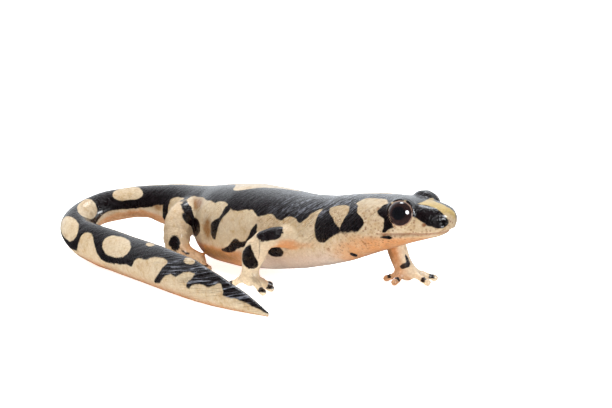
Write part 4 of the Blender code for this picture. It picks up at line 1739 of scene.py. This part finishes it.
@dataclass
class Studio:
    """White floor, soft light and the camera at the photograph's angle.

    Angles are in degrees, the camera's distance is in shares, and the floor is in metres.
    """

    azimuth: float = 48.0
    elevation: float = 10.5
    distance: float = 280.0
    focal_pixels: float = 2408.0
    image_width: float = 612.0
    shoulder_pixel: tuple[float, float] = (335.0, 288.0)
    image_centre: tuple[float, float] = (306.0, 204.0)
    floor_radius: float = 4.0
    floor_drop: float = 0.00002
    floor_glow: float = 0.75
    softboxes: tuple[Softbox, ...] = (
        Softbox("top_light", (-0.10, 0.0, 0.70), 0.8, 7.7, shines=False, tint=WARM_WHITE),
        Softbox("front_fill", (0.12, -0.80, 0.36), 0.7, 2.1, shines=False, tint=WARM_WHITE),
        Softbox("back_sheen", (-0.14, 0.20, 0.52), 0.18, 0.75, fills=False),
        Softbox("eye_light", (0.42, 0.10, 0.13), 0.22, 3.0, fills=False),
    )

    def camera(self, newt: Newt) -> bpy.types.Object:
        """Camera that sees the floor point under the shoulders at its place in the photograph.

        It stands back from that point along the view, and moves sideways and up by the point's distance in
        pixels from the middle of the picture, times the distance over the focal length.

        Args:
            newt: The newt, whose frame the camera stands in.

        Returns:
            The camera.
        """
        a, e = math.radians(self.azimuth), math.radians(self.elevation)
        back = Vector((math.sin(a) * math.cos(e), -math.cos(a) * math.cos(e), math.sin(e)))
        right = Vector((math.cos(a), math.sin(a), 0.0))
        up = back.cross(right)
        scale = self.distance / self.focal_pixels
        across = (self.shoulder_pixel[0] - self.image_centre[0]) * scale
        rise = (self.shoulder_pixel[1] - self.image_centre[1]) * scale
        place = back * self.distance - right * across + up * rise
        data = bpy.data.cameras.new("photo_camera")
        data.sensor_width = 36.0
        data.lens = self.focal_pixels / self.image_width * data.sensor_width
        data.clip_start, data.clip_end = 0.01, 20.0
        thing = link("photo_camera", data)
        thing.matrix_world = Matrix((right, up, back)).transposed().to_4x4()
        thing.location = Vector(newt.to_world(np.array(place)).tolist())
        bpy.context.scene.camera = thing
        return thing

    def floor(self) -> bpy.types.Object:
        """Large white disc just under floor level that glows a little like a light table.

        Returns:
            The floor.
        """
        angle = full_turn(96)
        across, depth = np.cos(angle) * self.floor_radius, np.sin(angle) * self.floor_radius
        ring = np.stack([across, depth, np.full(len(angle), -self.floor_drop)], axis=-1)
        mesh = bpy.data.meshes.new("floor")
        mesh.from_pydata(ring.tolist(), [], [list(range(len(angle)))])
        thing = link("floor", mesh)
        made = bpy.data.materials.new("white_floor")
        web = Web(made)
        shader = web.node("ShaderNodeBsdfPrincipled", {}, {
            "Base Color": (0.9, 0.9, 0.9, 1), "Roughness": 0.9, "Specular IOR Level": 0.1,
            "Emission Color": (1, 1, 1, 1), "Emission Strength": self.floor_glow,
        })
        web.finish(shader)
        mesh.materials.append(made)
        thing.visible_glossy = False
        return thing

    def surround(self) -> None:
        """World that is bright above the horizon behind the newt and dark elsewhere.

        The strength is the product of two smooth steps, one over a direction's share away from the camera
        and one over its height.
        """
        a = math.radians(self.azimuth)
        world = bpy.data.worlds.new("studio")
        web = Web(world)
        way = web.out(web.node("ShaderNodeTexCoord", {}, {}), "Generated")
        shares = []
        for toward in ((-math.sin(a), math.cos(a), 0.1), (0, 0, 1)):
            made = web.node("ShaderNodeVectorMath", {"operation": "DOT_PRODUCT"}, {0: way, 1: toward})
            shares.append(web.out(made, "Value"))
        strength = shares[0].rise(0.25, 1.0) * shares[1].rise(-0.12, 0.04) + 0.07
        web.finish(
            web.node("ShaderNodeBackground", {}, {"Color": (0.90, 0.95, 1.0, 1), "Strength": strength}),
            "ShaderNodeOutputWorld",
        )
        bpy.context.scene.world = world

    def build(self, newt: Newt) -> None:
        """Set up world, floor, lights and camera.

        Args:
            newt: The newt, whose frame the camera stands in.
        """
        self.surround()
        bpy.context.scene.view_settings.view_transform = "Standard"
        self.floor()
        for box in self.softboxes:
            box.build(Vector((0.0, 0.0, 0.01)))
        self.camera(newt)


def main() -> None:
    """Build the newt and the studio round it."""
    newt = Newt()
    for piece in newt.build():
        LOG.info("built %s", piece.name)
    Studio().build(newt)


if __name__ == "__main__":
    logging.basicConfig(level=logging.INFO)
    main()
